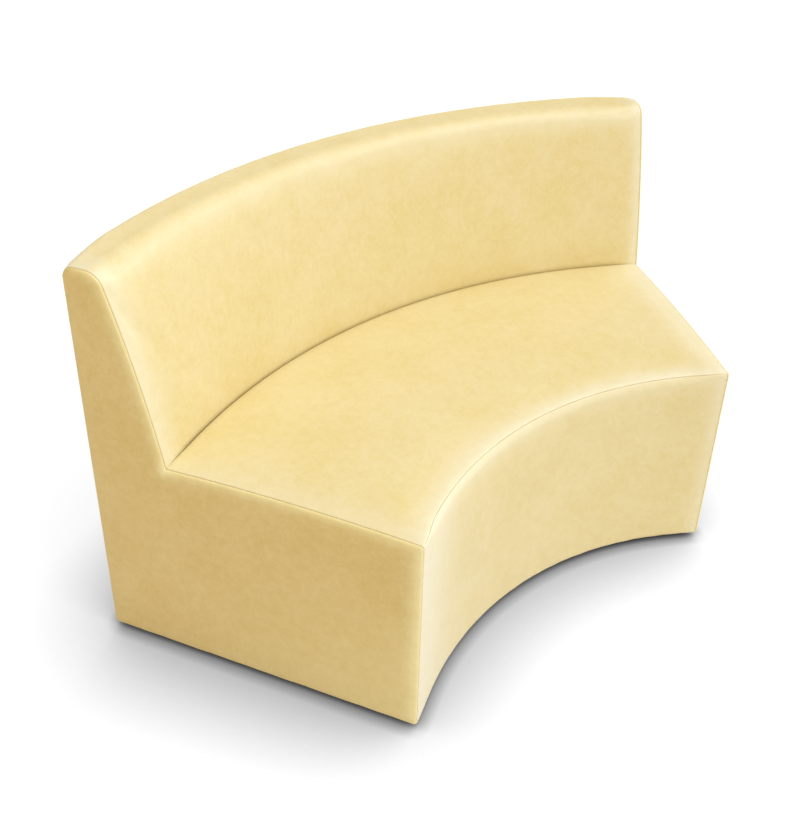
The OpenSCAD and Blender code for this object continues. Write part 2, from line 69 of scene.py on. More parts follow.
# Thickness of the vinyl, width of a hem, and the tops of the seat deck and of the frame.
COVER_T, HEM_W, DECK_TOP, FRAME_TOP = 1.4, 42.0, 389.3, 831.3
CREASE_R, REAR_R = FRONT_R + BODY_DEPTH * SEAT_SHARE, FRONT_R + BODY_DEPTH
CREASE_Z = SEAT_H + SEAT_RISE
CORNER_Y = sqrt(FRONT_R**2 - HALF_CHORD**2)


def curve_centre_y():
    """Where the axis of the curve stands, so that the bench is centred on the origin."""
    soft = sin(END_ANGLE) + CORNER_Y / FRONT_R
    soft_len = sqrt(sin(END_ANGLE) ** 2 + (CORNER_Y / FRONT_R) ** 2)
    front_reach = CORNER_Y + END_EDGE_R * (soft - soft_len)
    return -(front_reach + REAR_R) / 2


ARC_Y = curve_centre_y()
print("the curve's axis stands at y =", round(ARC_Y, 2), "mm")

# %% [markdown]
# ## Camera
# The camera stands to the left of the bench and above it, and looks down at it by about
# thirty degrees. It is placed by three turns: sideways, down, and a slight roll.

# %% Camera
CAMERA_AT = Vector((-1.34691, -1.40280, 1.68909))
YAW, PITCH, ROLL = radians(40.504), radians(30.287), radians(-1.328)
FOCAL_PX, LONG_SIDE_PX, SENSOR_MM, RAISED_PX, SIGHT_M = 1063.09, 840, 36.0, 100, 200


def camera_turn(yaw, pitch, roll):
    """The camera's right, up and backward directions, as the columns of a matrix."""
    ahead = Vector((sin(yaw) * cos(pitch), cos(yaw) * cos(pitch), -sin(pitch)))
    level = Vector((cos(yaw), -sin(yaw), 0))
    down = ahead.cross(level)
    right = cos(roll) * level + sin(roll) * down
    lower = cos(roll) * down - sin(roll) * level
    return Matrix((right, -lower, -ahead)).transposed()


camera = bpy.data.objects.new("camera", bpy.data.cameras.new("camera"))
bpy.context.scene.collection.objects.link(camera)
camera.matrix_world = Matrix.Translation(CAMERA_AT) @ camera_turn(YAW, PITCH, ROLL).to_4x4()
camera.data.sensor_width = SENSOR_MM
camera.data.lens = FOCAL_PX * SENSOR_MM / LONG_SIDE_PX
camera.data.shift_y = -RAISED_PX / LONG_SIDE_PX
camera.data.clip_end = SIGHT_M
bpy.context.scene.camera = camera
print("lens", round(camera.data.lens, 2), "mm")

# %% [markdown]
# ## Floor and light
# A studio floor is one pale sheet under an even, bright ceiling, and large soft lamps on the
# right and in front model the upholstery. To the camera and in reflections the floor is white,
# darkened only by how much the bench hides from each spot of the light that comes down from
# the front right and of what lies close by. To everything else it is a pale matt sheet.

# %% Node helpers
NODE_GAP = 180


def feed(tree, socket, value):
    """Gives an input its value, or links it to the socket that the value comes from."""
    if isinstance(value, bpy.types.NodeSocket):
        tree.links.new(value, socket)
    else:
        socket.default_value = value


def add_node(tree, kind, **values):
    """Adds a node, in a row with the others, and sets its settings and, by name, its inputs."""
    made = tree.nodes.new(kind)
    made.location = (NODE_GAP * len(tree.nodes), 0)
    for name, value in values.items():
        if name in made.inputs:
            feed(tree, made.inputs[name], value)
        else:
            setattr(made, name, value)
    return made


def in_order(tree, kind, *values, **settings):
    """Adds a node whose inputs are given in their order, and returns its first output."""
    made = add_node(tree, kind, **settings)
    for socket, value in zip(made.inputs, values):
        feed(tree, socket, value)
    return made.outputs[0]


def new_material(name):
    """An empty node material, ready to be wired."""
    made = bpy.data.materials.new(name)
    made.use_nodes = True
    made.node_tree.nodes.clear()
    return made, made.node_tree


print("nodes can be added and linked")

# %% Arithmetic with nodes
def maths(tree, operation, *values):
    return in_order(tree, "ShaderNodeMath", *values, operation=operation)


def combine(tree, a, factor, b=0.0):
    """a times a factor, plus b; each may be a value or a socket."""
    return maths(tree, "MULTIPLY_ADD", a, factor, b)


def between(tree, value, low, high, to_low=0.0, to_high=1.0):
    """Stretches the part of a value that lies between low and high."""
    made = add_node(tree, "ShaderNodeMapRange", **{
        "Value": value, "From Min": low, "From Max": high, "To Min": to_low, "To Max": to_high})
    return made.outputs["Result"]


print("values can be combined and stretched")

# %% Patterns
def object_coords(tree):
    return add_node(tree, "ShaderNodeTexCoord").outputs["Object"]


def noise(tree, coords, scale, detail, roughness=0.5):
    made = add_node(tree, "ShaderNodeTexNoise", Vector=coords, Scale=scale, Detail=detail,
                    Roughness=roughness)
    return made.outputs["Fac"]


def cells(tree, coords, scale):
    """How far each spot lies from the middle of its cell, for pores, pits and flecks."""
    return add_node(tree, "ShaderNodeTexVoronoi", Vector=coords, Scale=scale).outputs["Distance"]


def mix_colour(tree, factor, a, b):
    """Goes from colour a to colour b as the factor goes from 0 to 1."""
    made = add_node(tree, "ShaderNodeMix", data_type="RGBA")
    for socket, value in ((0, factor), (6, a), (7, b)):
        feed(tree, made.inputs[socket], value)
    return made.outputs[2]


print("patterns on object coordinates are ready")

# %% The end of a material's tree
def bump(tree, height, strength, depth):
    """Relief from a pattern of heights, with its depth in metres."""
    made = add_node(tree, "ShaderNodeBump", Height=height, Strength=strength, Distance=depth)
    return made.outputs[0]


def finish(tree, colour, roughness, relief, **others):
    """Ends a tree with its shader, made from the colour, roughness and relief, and its output."""
    shader = add_node(tree, "ShaderNodeBsdfPrincipled", Roughness=roughness, Normal=relief,
                      **{"Base Color": colour}, **others)
    add_node(tree, "ShaderNodeOutputMaterial", Surface=shader.outputs[0])


print("materials can be finished")

# %% Floor
# The shadow is the light from the front right that the bench hides within a few metres, what
# it hides close by, and, over the last centimetres, the dark line where it meets the floor.
FLOOR_HALF = 40.0
FLOOR_TONE, FLOOR_SEEN, SHADOW_POWER = 0.78, 1.22, 1.40
FAR_SHARE, FAR_REACH, NEAR_REACH, CONTACT_REACH = 0.39, 3.0, 0.25, 0.03
FAR_FROM = (0.579, -0.579, 0.574)


def openness(tree, reach_m, **way):
    """How much of the light reaches a spot past whatever stands within so many metres."""
    return add_node(tree, "ShaderNodeAmbientOcclusion", Distance=reach_m, **way).outputs["AO"]


def white_floor():
    """A floor that the camera sees white, with a soft shadow, and that is pale grey otherwise."""
    made, tree = new_material("studio_floor")
    ray = add_node(tree, "ShaderNodeLightPath")
    seen = ray.outputs["Is Camera Ray"]
    for other in ("Is Glossy Ray", "Is Transmission Ray"):
        seen = maths(tree, "MAXIMUM", seen, ray.outputs[other])
    far = openness(tree, FAR_REACH, Normal=in_order(tree, "ShaderNodeCombineXYZ", *FAR_FROM))
    far = combine(tree, far, FAR_SHARE)
    open_sky = combine(tree, openness(tree, NEAR_REACH), 1 - FAR_SHARE, far)
    contact = combine(tree, openness(tree, CONTACT_REACH), FLOOR_SEEN)
    level = maths(tree, "MULTIPLY", maths(tree, "POWER", open_sky, SHADOW_POWER), contact)
    glow = add_node(tree, "ShaderNodeEmission", Strength=level).outputs[0]
    matt = add_node(tree, "ShaderNodeBsdfDiffuse", Color=(*[FLOOR_TONE] * 3, 1)).outputs[0]
    both = in_order(tree, "ShaderNodeMixShader", seen, matt, glow)
    add_node(tree, "ShaderNodeOutputMaterial", Surface=both)
    return made


def mesh_object(name, points, faces, material):
    """A smooth mesh object at the origin, with its place in its points, in metres."""
    mesh = bpy.data.meshes.new(name)
    mesh.from_pydata([tuple(map(float, p)) for p in points], [],
                     [tuple(map(int, f)) for f in faces])
    mesh.update()
    made = bpy.data.objects.new(name, mesh)
    bpy.context.scene.collection.objects.link(made)
    mesh.polygons.foreach_set("use_smooth", [True] * len(mesh.polygons))
    mesh.materials.append(material)
    return made


floor = mesh_object(
    "floor",
    [(x * FLOOR_HALF, y * FLOOR_HALF, 0) for x, y in ((-1, -1), (1, -1), (1, 1), (-1, 1))],
    [(0, 1, 2, 3)],
    white_floor(),
)
print("a floor", round(2 * FLOOR_HALF), "metres wide")

# %% Sky
# The camera sees a white sky, and everything else is lit by a dimmer and slightly warm one.
SKY_FILL, SKY_TINT = 0.51, (1.08, 1.0, 0.90, 1)
SKY_SEEN, WHITE = 1.0, (1, 1, 1, 1)
world = bpy.data.worlds.new("studio")
bpy.context.scene.world = world
world.use_nodes = True
studio = world.node_tree
studio.nodes.clear()
camera_sees = add_node(studio, "ShaderNodeLightPath").outputs["Is Camera Ray"]
skies = [add_node(studio, "ShaderNodeBackground", Color=colour, Strength=strength).outputs[0]
         for colour, strength in ((SKY_TINT, SKY_FILL), (WHITE, SKY_SEEN))]
both_skies = in_order(studio, "ShaderNodeMixShader", camera_sees, *skies)
add_node(studio, "ShaderNodeOutputWorld", Surface=both_skies)
print("the sky lights at", SKY_FILL, "and is seen at", SKY_SEEN)

# %% Lamps
# Each lamp: name, compass angle from the front towards the right, height angle, strength,
# spread and tint. The key light is low, so that it reaches into the curve.
LAMPS = [
    ("key_light", 90, 8, 1.11, 40, (0.98, 0.99, 1.03)),
    ("high_light", 45, 55, 0.92, 40, (0.97, 0.99, 1.04)),
    ("top_light", 0, 60, 0.70, 50, (1.01, 1.00, 0.99)),
    ("front_light", -45, 30, 0.30, 50, (1.20, 1.04, 0.76)),
]


def soft_lamp(name, compass, height, strength, spread, tint):
    """A lamp that lights the bench evenly from one side, with soft shadows."""
    lamp = bpy.data.lights.new(name, "SUN")
    lamp.energy, lamp.angle, lamp.color = strength, radians(spread), tint
    made = bpy.data.objects.new(name, lamp)
    bpy.context.scene.collection.objects.link(made)
    a, h = radians(compass), radians(height)
    towards = Vector((cos(h) * sin(a), -cos(h) * cos(a), sin(h)))
    made.rotation_mode = "QUATERNION"
    made.rotation_quaternion = towards.to_track_quat("Z", "Y")


for settings in LAMPS:
    soft_lamp(*settings)
bpy.context.scene.view_settings.view_transform = "Standard"
print("floor, sky and", len(LAMPS), "soft lamps")

# %% [markdown]
# ## The vinyl
# Coated upholstery vinyl looks like soft leather: a satin surface with a very fine grain, and
# a colour that drifts gently from cream to straw yellow. Noise on object coordinates makes the
# drift and the grain, so both stay the same size on every piece. Two attributes come with each
# cover: "seam" is 1 in the bottom of a seam and down in the tuck at the crease, where shade is
# painted in as a darker colour, and the other is 1 on the rolled edges and on some lit faces,
# where a highlight is painted in as a paler colour and the vinyl is a little smoother.

# %% Vinyl material
VINYL_LIGHT, VINYL_DEEP = (0.840, 0.726, 0.413, 1), (0.782, 0.648, 0.279, 1)
# The ends get a deeper, more saturated copy of these tones, as painted shade, since the ends are
# lit less than the seat and back.
END_SHADED_LIGHT, END_SHADED_DEEP = (0.760, 0.565, 0.215, 1), (0.680, 0.485, 0.135, 1)
# Paler colours painted where a highlight falls, on the covers and on the ends.
VINYL_HIGHLIGHT, END_HIGHLIGHT = (0.900, 0.855, 0.640, 1), (0.965, 0.855, 0.440, 1)
# Colour of the shade painted in seams, beside the crease and down the tuck.
PAINTED_SEAM_SHADE = (0.38, 0.235, 0.003, 1)
# How strong and how patchy the painted highlight is, how strong the painted shade is, and how dark
# it is in a seam.
HIGHLIGHT_STRENGTH, HIGHLIGHT_PATCHY, SEAM_STRENGTH, SEWN_DARK = 0.9, 0.8, 0.97, 0.42
# The noise that tints the vinyl: its scale, detail, roughness and share, from clouds to specks.
CLOUDS, BLOTS = (8.0, 2.0, 0.5, 0.7), (42.0, 4.0, 0.6, 0.8)
PATCHES, SPECKS = (100.0, 4.0, 0.6, 0.75), (330.0, 4.0, 0.65, 0.85)
NOISE_BAND, DRIFT_BAND, GLOSS_BAND = (0.3, 0.7), (0.75, 2.35), (0.41, 0.49)
SATIN = {"IOR": 1.5, "Specular IOR Level": 0.60, "Sheen Weight": 0.38, "Sheen Roughness": 0.35,
         "Sheen Tint": (1.0, 0.97, 0.88, 1)}


def vinyl_material(name, light, deep, worn):
    """Vinyl that drifts between two tones, painted paler where a highlight falls and darker where
    shade falls in a seam or the tuck.
    """
    made, tree = new_material(name)
    coords = object_coords(tree)
    drift, shapes = 0.0, []
    for *kind, share in (CLOUDS, BLOTS, PATCHES, SPECKS):
        shapes.append(between(tree, noise(tree, coords, *kind), *NOISE_BAND))
        drift = combine(tree, shapes[-1], share, drift)
    colour = mix_colour(tree, between(tree, drift, *DRIFT_BAND), deep, light)
    # Painted highlight, paler and patchy, and painted shade in seams and the tuck, from the two
    # attributes.
    highlit, seam = (add_node(tree, "ShaderNodeAttribute", attribute_name=n).outputs["Fac"]
                    for n in ("highlit", "seam"))
    patchy = between(tree, shapes[1], 0.0, 1.0, HIGHLIGHT_PATCHY * HIGHLIGHT_STRENGTH, HIGHLIGHT_STRENGTH)
    colour = mix_colour(tree, combine(tree, highlit, patchy), colour, worn)
    colour = mix_colour(tree, combine(tree, seam, SEAM_STRENGTH), colour, PAINTED_SEAM_SHADE)
    gloss = between(tree, noise(tree, coords, 60.0, 2.0), *NOISE_BAND, *GLOSS_BAND)
    gloss = combine(tree, highlit, -0.05, gloss)
    gloss = combine(tree, seam, 0.4, gloss)
    grain = combine(tree, cells(tree, coords, 620.0), 0.6, noise(tree, coords, 260.0, 4.0))
    finish(tree, colour, gloss, bump(tree, grain, 0.5, 0.0004), **SATIN)
    return made


VINYL = vinyl_material("pale_yellow_vinyl", VINYL_LIGHT, VINYL_DEEP, VINYL_HIGHLIGHT)
# The ends, and their hems, take the copy with painted shade.
SHADED_END_VINYL = vinyl_material("pale_yellow_end_vinyl_painted_shade", END_SHADED_LIGHT, END_SHADED_DEEP, END_HIGHLIGHT)
print("made", VINYL.name, "and", SHADED_END_VINYL.name)

# %% [markdown]
# ## Upright planes round the curve
# A station is an upright plane that cuts the bench across: a point on it, its angle, and the
# side it is on. The planes turn evenly with the curve, and the last ones lie parallel to the
# flat ends. Every cover is laid out by giving a cross-section at each station.

# %% Stations
def end_station(side, s):
    """The plane parallel to an end, s inside it."""
    return (HALF_CHORD - s * cos(END_ANGLE), CORNER_Y + s * sin(END_ANGLE), END_ANGLE, side)


def reach(st, r):
    """How far along a station's plane the arc of radius r lies."""
    p = st[0] * sin(st[2]) + st[1] * cos(st[2])
    return np.sqrt(p * p - st[0] ** 2 - st[1] ** 2 + np.square(r)) - p


def place(st, pts):
    """[radius, height] points on a station, as points in millimetres."""
    pts = np.asarray(pts, float)
    u = reach(st, pts[..., 0])
    x, y = st[3] * (st[0] + u * sin(st[2])), st[1] + u * cos(st[2]) + ARC_Y
    return np.stack([x, y, pts[..., 1]], -1)


def sweep_angle(s):
    """The angle round the curve at which the plane s inside an end meets the front face."""
    st = end_station(1, s)
    u = reach(st, FRONT_R)
    return atan2(st[0] + u * sin(st[2]), st[1] + u * cos(st[2]))


def mid_station(t, s):
    """A plane between the ends, for t from -1 to 1, where both of those are s inside an end."""
    full, side = sweep_angle(s), -1 if t < 0 else 1
    return FRONT_R * sin(full * abs(t)), FRONT_R * cos(full * t), END_ANGLE * abs(t), side


print("the curve sweeps", round(degrees(2 * sweep_angle(0)), 1), "degrees")

# %% [markdown]
# ## The cross-section
# The outline of the upholstery is drawn from straight lines, rounded corners and the slow
# bulge of foam. It is kept as short named stretches, so that each cover can take the ones it
# spans and divide each stretch as finely as its shape needs.

# %% Lines, corners and bulges
def unit(v):
    v = np.asarray(v, float)
    return v / np.linalg.norm(v)


def corner(a, b, c, r, middle=0.5, n=16):
    """Points of a rounded corner at b, on the way from a to c; half lie before its middle."""
    a, b, c = (np.asarray(p, float) for p in (a, b, c))
    u, v = unit(a - b), unit(c - b)
    half = acos(np.clip(u @ v, -1, 1)) / 2
    mid = b + unit(u + v) * r / sin(half)
    p, q = b + u * r / tan(half) - mid, b + v * r / tan(half) - mid
    turn = (pi - 2 * half) * (1 if p[0] * q[1] - p[1] * q[0] > 0 else -1)
    w = turn * np.interp(np.arange(n + 1) / n, (0, 0.5, 1), (0, middle, 1))
    x, y = p[0] * np.cos(w) - p[1] * np.sin(w), p[0] * np.sin(w) + p[1] * np.cos(w)
    return mid + np.stack([x, y], -1)


def bulge(a, b, h, n=40):
    """Points from a to b on a shallow bulge to the left of the way."""
    a, b = np.asarray(a, float), np.asarray(b, float)
    side = np.array([-(b - a)[1], (b - a)[0]]) / np.linalg.norm(b - a)
    f = np.arange(n + 1) / n
    return a + (b - a) * f[:, None] + side * (h * 4 * f * (1 - f))[:, None]


def ease(x):
    """Rises smoothly from 0 to 1 as x does."""
    x = np.clip(x, 0, 1)
    return x * x * (3 - 2 * x)


print("a rounded corner has", len(corner((0, 1), (0, 0), (1, 0), 0.5)), "points")

# %% The outline
V_HEM, V_SEAT, V_CREASE = (FRONT_R, FLOOR_GAP), (FRONT_R, SEAT_H), (CREASE_R, CREASE_Z)
V_TOP, V_REAR, V_FOOT = (REAR_R - BACK_TOP_T, TOTAL_H), (REAR_R, TOTAL_H), (REAR_R, FLOOR_GAP)
# A sewn edge is the middle point of its rounded corner, where the two covers meet.
HALF = 8
# Far from the ends a cross-section no longer changes, so this distance stands for the middle.
MIDWAY = 1e3
# Corners are tighter in front and rounder at the rear where the ends are sewn on.
CORNER_R, CORNER_RUN, REAR_CORNER_R = 11.0, 120.0, 28.0
# How the seat rolls down to its front edge, and where on the corner its seam lies.
ROLL_DIP, ROLL_SLOPE, ROLL_LEN, SEAM_SHARE = 9.0, 0.20, 75.0, 0.69


def front_edge(d):
    """The front edge of the seat, tight at the sewn corners and full and sloping between them."""
    w = float(ease(d / CORNER_RUN))
    top = np.array([FRONT_R, SEAT_H - ROLL_DIP * w])
    slope = SEAT_RISE / (CREASE_R - FRONT_R) * (1 - w) + ROLL_SLOPE * w
    return corner(V_HEM, top, top + (100, 100 * slope), CORNER_R + (SEAT_EDGE_R - CORNER_R) * w,
                  0.5 + (SEAM_SHARE - 0.5) * w)


def rear_edge(d):
    """The top edge at the rear, a little rounder at the ends."""
    w = float(ease(d / CORNER_RUN))
    return corner(V_TOP, V_REAR, V_FOOT, REAR_CORNER_R + (BACK_REAR_R - REAR_CORNER_R) * w)


def seat_line(d):
    """The seat, which rolls down to its front edge over the last few centimetres."""
    start = front_edge(d)[-1]
    full = SEAT_H + SEAT_RISE * (start[0] - FRONT_R) / (CREASE_R - FRONT_R)
    line = bulge((start[0], full), V_CREASE, SEAT_CROWN, 120)
    line[:, 1] -= (full - start[1]) * np.maximum(0, 1 - (line[:, 0] - start[0]) / ROLL_LEN) ** 2
    return line


front_hem = corner(V_FOOT, V_HEM, V_SEAT, HEM_R)
top_edge = corner(V_CREASE, V_TOP, V_REAR, BACK_FRONT_R)
rear_hem = corner(V_REAR, V_FOOT, V_HEM, HEM_R)
back_line = bulge(V_CREASE, top_edge[0], BACK_CROWN)


def crease_miter():
    """Which way the crease moves when both covers beside it sink by one millimetre."""
    line = seat_line(MIDWAY)
    m, w = unit(line[-1] - line[-2]), unit(back_line[1] - back_line[0])
    m, w = np.array([m[1], -m[0]]), np.array([w[1], -w[0]])
    return (m + w) / (1 + m @ w)


CREASE_MITER = crease_miter()
print("the crease moves", CREASE_MITER.round(3), "for each millimetre that the covers sink")

# %% [markdown]
# ## Edges and seams
# On the real bench foam rolls over each end, and the seam lies just where the swept covers
# turn down to the end. So each swept cover falls slowly towards the seam, and the end panel
# has a tight roll after it. The seam itself is a narrow groove with a low roll on each side.
# Rows and rings of the covers lie less than a millimetre apart there, and several apart in
# the open.

# %% The shape of an edge and of a seam
# Where the seam lies: how far in from the end, how far down, and its lean.
SEAM_IN, SEAM_DROP, SEAM_TURN, SEAM_CLEAR = 5.0, 5.5, radians(24), 0.08
# The fall of a cover towards its end: a short steep part and a long slow one.
EDGE_DROP, EDGE_RUN, CROWN_RUN = 2.9, 26.0, 95.0
# Underneath only this share of the fall is kept, and a hem rises from it over this run.
UNDER_KEPT, UNDER_RUN = 0.2, 8.0
# Rings and rows beside a seam lie at these distances from it, and these depths in its walls.
SEAM_STEPS = [0, 0.35, 0.75, 1.25, 1.9, 2.8, 4.0, 5.8, 8.0]
EDGE_STEPS = [10.6, 13.6, 17.0, 20.8]
SEAM_WALL = [4.5, 2.6, 1.3]
# The coarse copy of a cover that is simulated leaves these distances out.
FINE_ONLY = SEAM_STEPS[1:7]
# The groove of a seam, and the height, place and width of the low roll beside it.
SEAM_DEPTH, SEAM_WIDTH, ROLL_H, ROLL_AT, ROLL_W = 1.15, 0.75, 0.40, 2.6, 1.7
# From this far inside an end the rings turn with the curve, at fine or coarse distances.
FULL_IN, FINE_RING, COARSE_RING = 30.0, 7.5, 22.0


def drop(d):
    """How far a cover lies below its full height at a distance d from an end seam."""
    near, far = np.maximum(0, 1 - d / EDGE_RUN), np.maximum(0, 1 - d / CROWN_RUN)
    return EDGE_DROP * near**2 + (SEAM_DROP - EDGE_DROP) * far**2


def kept(up):
    """The share of that fall which is kept where the way inwards points up: little underneath,
    as the covers lie flat against the frame there."""
    return 1 - (1 - UNDER_KEPT) * ease(up)


def tilt(d):
    """The angle by which a cover leans towards the end there."""
    near, far = max(0, 1 - d / EDGE_RUN), max(0, 1 - d / CROWN_RUN)
    return atan(2 * EDGE_DROP * near / EDGE_RUN + 2 * (SEAM_DROP - EDGE_DROP) * far / CROWN_RUN)


def seam_depth(d):
    """How far the cover sinks at a distance d from a seam; less than nothing on the roll."""
    d = np.asarray(d, float)
    roll = ROLL_H * np.exp(-(((d - ROLL_AT) / ROLL_W) ** 2))
    return SEAM_DEPTH * np.exp(-((d / SEAM_WIDTH) ** 2)) - roll


def ripple(x, seed):
    """A slow uneven wave, from -1 to 1, along a seam or a hem."""
    waves = ((9.1, 1.0), (14.7, 2.3), (23.9, 4.1))
    return sum(np.sin(x / length + late * seed) for length, late in waves) / 3


print("a cover falls", round(float(drop(0)), 1), "mm towards an end, and leans",
      round(degrees(tilt(0)), 1), "degrees there")

# %% Rings from one end to the other
def graded(length, step, start=(), end=()):
    """Positions from 0 to length: fine ones near a seam, and then even steps."""
    head = [v for v in start if v < length / 2] or [0.0]
    tail = [length - v for v in end if v < length / 2][::-1] or [length]
    lo, hi = head[-1], tail[0]
    n = max(1, round((hi - lo) / step))
    return np.array(head + [lo + (hi - lo) * i / n for i in range(1, n)] + tail)


def end_ring(side, d, depth):
    """A ring at a distance d from an end seam, or d = 0 and some depth down in the seam."""
    turn = SEAM_TURN if depth else tilt(d)
    return dict(st=None, side=side, a=turn, s=SEAM_IN + SEAM_CLEAR + d, sink=depth, d=d)


def rings(step):
    """The rings of a cover, from the left seam to the right one. Each has its side, its distance
    d from the seam and depth sink in it, its lean a, its place u round the curve, and either its
    station st or its distance s inside the end."""
    side = [(0.0, depth) for depth in SEAM_WALL] + [(d, 0.0) for d in SEAM_STEPS + EDGE_STEPS]
    full_d = FULL_IN - SEAM_IN
    half_len = 0.5 * (FRONT_R + REAR_R) * sweep_angle(FULL_IN)
    n = 2 * round(half_len / step)
    mid = []
    for t in 2 * np.arange(n + 1) / n - 1:
        mid.append(dict(st=mid_station(t, FULL_IN), a=0.0, side=1, sink=0.0,
                        d=full_d + (1 - abs(t)) * half_len, u=t * half_len))
    left = [end_ring(-1, *p) for p in side]
    right = [end_ring(1, *p) for p in side[::-1]]
    for g in left + right:
        g["u"] = g["side"] * (half_len + full_d - g["d"])
    return left + mid + right


net = rings(FINE_RING)
print(len(net), "rings from end to end")

# %% [markdown]
# ## Cross-sections of the covers
# Each cover spans a few stretches of the outline. At the crease the seat cover and the back
# cover both dive down between the foams, and near the ends they come up again and meet in a
# point, so a cross-section depends on the distance from the end.

# %% Cross-sections of the four swept covers
# Depth of the tuck at an end and in the middle, and how far from an end it is in full.
TUCK_END, TUCK_FULL, TAPER = 4.0, 40.0, 85.0
# Radii of the two bends and half the width of the tuck, at an end and in the middle.
SEAT_BEND, BACK_BEND, SLIT = (1.2, 4.5), (2.0, 9.0), (0.15, 1.3)


def trim(line, point, dist):
    """The part of a line that is more than dist away from a point."""
    return line[np.linalg.norm(line - np.asarray(point), axis=1) > dist]


def tuck(d):
    """The tuck at the crease: its share of the full depth, the height of its bottom, and half
    its width."""
    w = float(ease(d / TAPER))
    return w, CREASE_Z - TUCK_END - (TUCK_FULL - TUCK_END) * w, SLIT[0] + (SLIT[1] - SLIT[0]) * w


def seat_section(d):
    """The seat from the front seam to the bottom of the tuck."""
    w, low, slit = tuck(d)
    r = SEAT_BEND[0] + (SEAT_BEND[1] - SEAT_BEND[0]) * w
    c = np.array([CREASE_R - slit, CREASE_Z])
    line = trim(seat_line(d), c, r * 1.6)
    bend = corner(line[-1], c, (c[0], low), r)
    return [front_edge(d)[HALF:], np.vstack([line, bend[:1]]), bend,
            np.array([bend[-1], (c[0], low)])]


def back_section(d):
    """The back from the bottom of the tuck, up the slope and over to the top seam."""
    w, low, slit = tuck(d)
    r = BACK_BEND[0] + (BACK_BEND[1] - BACK_BEND[0]) * w
    c = np.array([CREASE_R + slit, CREASE_Z - 1.0])
    line = trim(back_line, c, r * 0.8)
    bend = corner((c[0], low), c, line[0], r)
    return [np.array([(c[0], low), bend[0]]), bend, np.vstack([bend[-1:], line]), top_edge,
            np.array([top_edge[-1], rear_edge(d)[0]]), rear_edge(d)[:HALF + 1]]


def front_section(d):
    """The front face from the edge of its hem to the front seam."""
    edge = front_edge(d)
    return [np.array([(FRONT_R + HEM_W, FLOOR_GAP), front_hem[0]]), front_hem,
            np.array([front_hem[-1], edge[0]]), edge[:HALF + 1]]


def rear_section(d):
    """The rear face from the top seam to the edge of its hem."""
    edge = rear_edge(d)
    return [edge[HALF:], np.array([edge[-1], rear_hem[0]]), rear_hem,
            np.array([rear_hem[-1], (REAR_R - HEM_W, FLOOR_GAP)])]


print("in the middle the tuck is", round(CREASE_Z - tuck(MIDWAY)[1], 1), "mm deep")

# %% Rows along a cross-section
NORMAL_SPAN, LEAST_WAY = 1.2, 0.02


def lengths(line):
    return np.concatenate([[0], np.cumsum(np.linalg.norm(np.diff(line, axis=0), axis=1))])


def along(line, share):
    """Points at shares of a line's length."""
    at = lengths(line)
    q = np.asarray(share) * at[-1]
    return np.stack([np.interp(q, at, line[:, 0]), np.interp(q, at, line[:, 1])], -1)


def shares(sections, steps, seam_start, seam_end):
    """Rows of a cover as (stretch, share) pairs, from its full cross-section."""
    out, last = [], len(sections) - 1
    for i, (line, step) in enumerate(zip(sections, steps)):
        total = lengths(line)[-1]
        pos = graded(total, step, SEAM_STEPS if seam_start and i == 0 else (),
                     SEAM_STEPS if seam_end and i == last else ())
        out += [(i, p / total) for p in (pos if i == last else pos[:-1])]
    return out


def lay_rows(sections, rows):
    """For each row its point, outward normal and distance along the cross-section, and the
    distances at which the stretches start."""
    pts = np.array([along(sections[i], f) for i, f in rows])
    starts = np.concatenate([[0], np.cumsum([lengths(l)[-1] for l in sections])])
    whole = np.vstack([sections[0]] + [l[1:] for l in sections[1:]])
    v = np.array([starts[i] + f * (starts[i + 1] - starts[i]) for i, f in rows])
    at = lengths(whole)

    def beside(away):
        where = np.clip(v + away, 0, at[-1])
        return np.stack([np.interp(where, at, whole[:, k]) for k in (0, 1)], -1)

    way = beside(NORMAL_SPAN) - beside(-NORMAL_SPAN)
    t = way / np.maximum(np.linalg.norm(way, axis=1), LEAST_WAY)[:, None]
    return pts, np.stack([-t[:, 1], t[:, 0]], -1), v, starts


print("seat, back, front and rear cross-sections ready")

# %% [markdown]
# ## The net in space
# Each point of a cover starts on its cross-section. It then sinks where the cover rolls over an
# end, and sinks again, or stands up a little, beside a seam. Real covers pucker slightly along
# a seam and never hang quite straight along a hem, so slow uneven waves are added there.

# %% Waves, puckers and shades
# Height of a pucker, and the distances from the seam at which it has faded and is full.
PUCKER, PUCKER_FAR, PUCKER_NEAR = 0.35, 10.0, 2.5
# Height of a hem's waves, how far up they reach, and where they begin beside an end.
HEM_WAVE, HEM_REACH, WAVE_RUN = 0.9, 45.0, 60.0
# Width of the painted shade in a seam, and how far from the middle a painted highlight line has
# its end strengths.
SEWN_WIDTH, HIGHLIGHT_SPAN = 0.7, 600.0


def hem_wave(x, z, seed):
    """How much the lower edge of a cover strays up or down."""
    return HEM_WAVE * ripple(x, seed) * ease((HEM_REACH - z) / HEM_REACH)


def puckers(d):
    """Where a cover puckers beside a seam: not in it, and most a few millimetres away."""
    return np.exp(-((d / PUCKER_FAR) ** 2)) - np.exp(-((d / PUCKER_NEAR) ** 2))


def sewn_shade(strength, d):
    """How much shade is painted on a cover at a distance d from a seam."""
    return strength * np.exp(-((d / SEWN_WIDTH) ** 2))


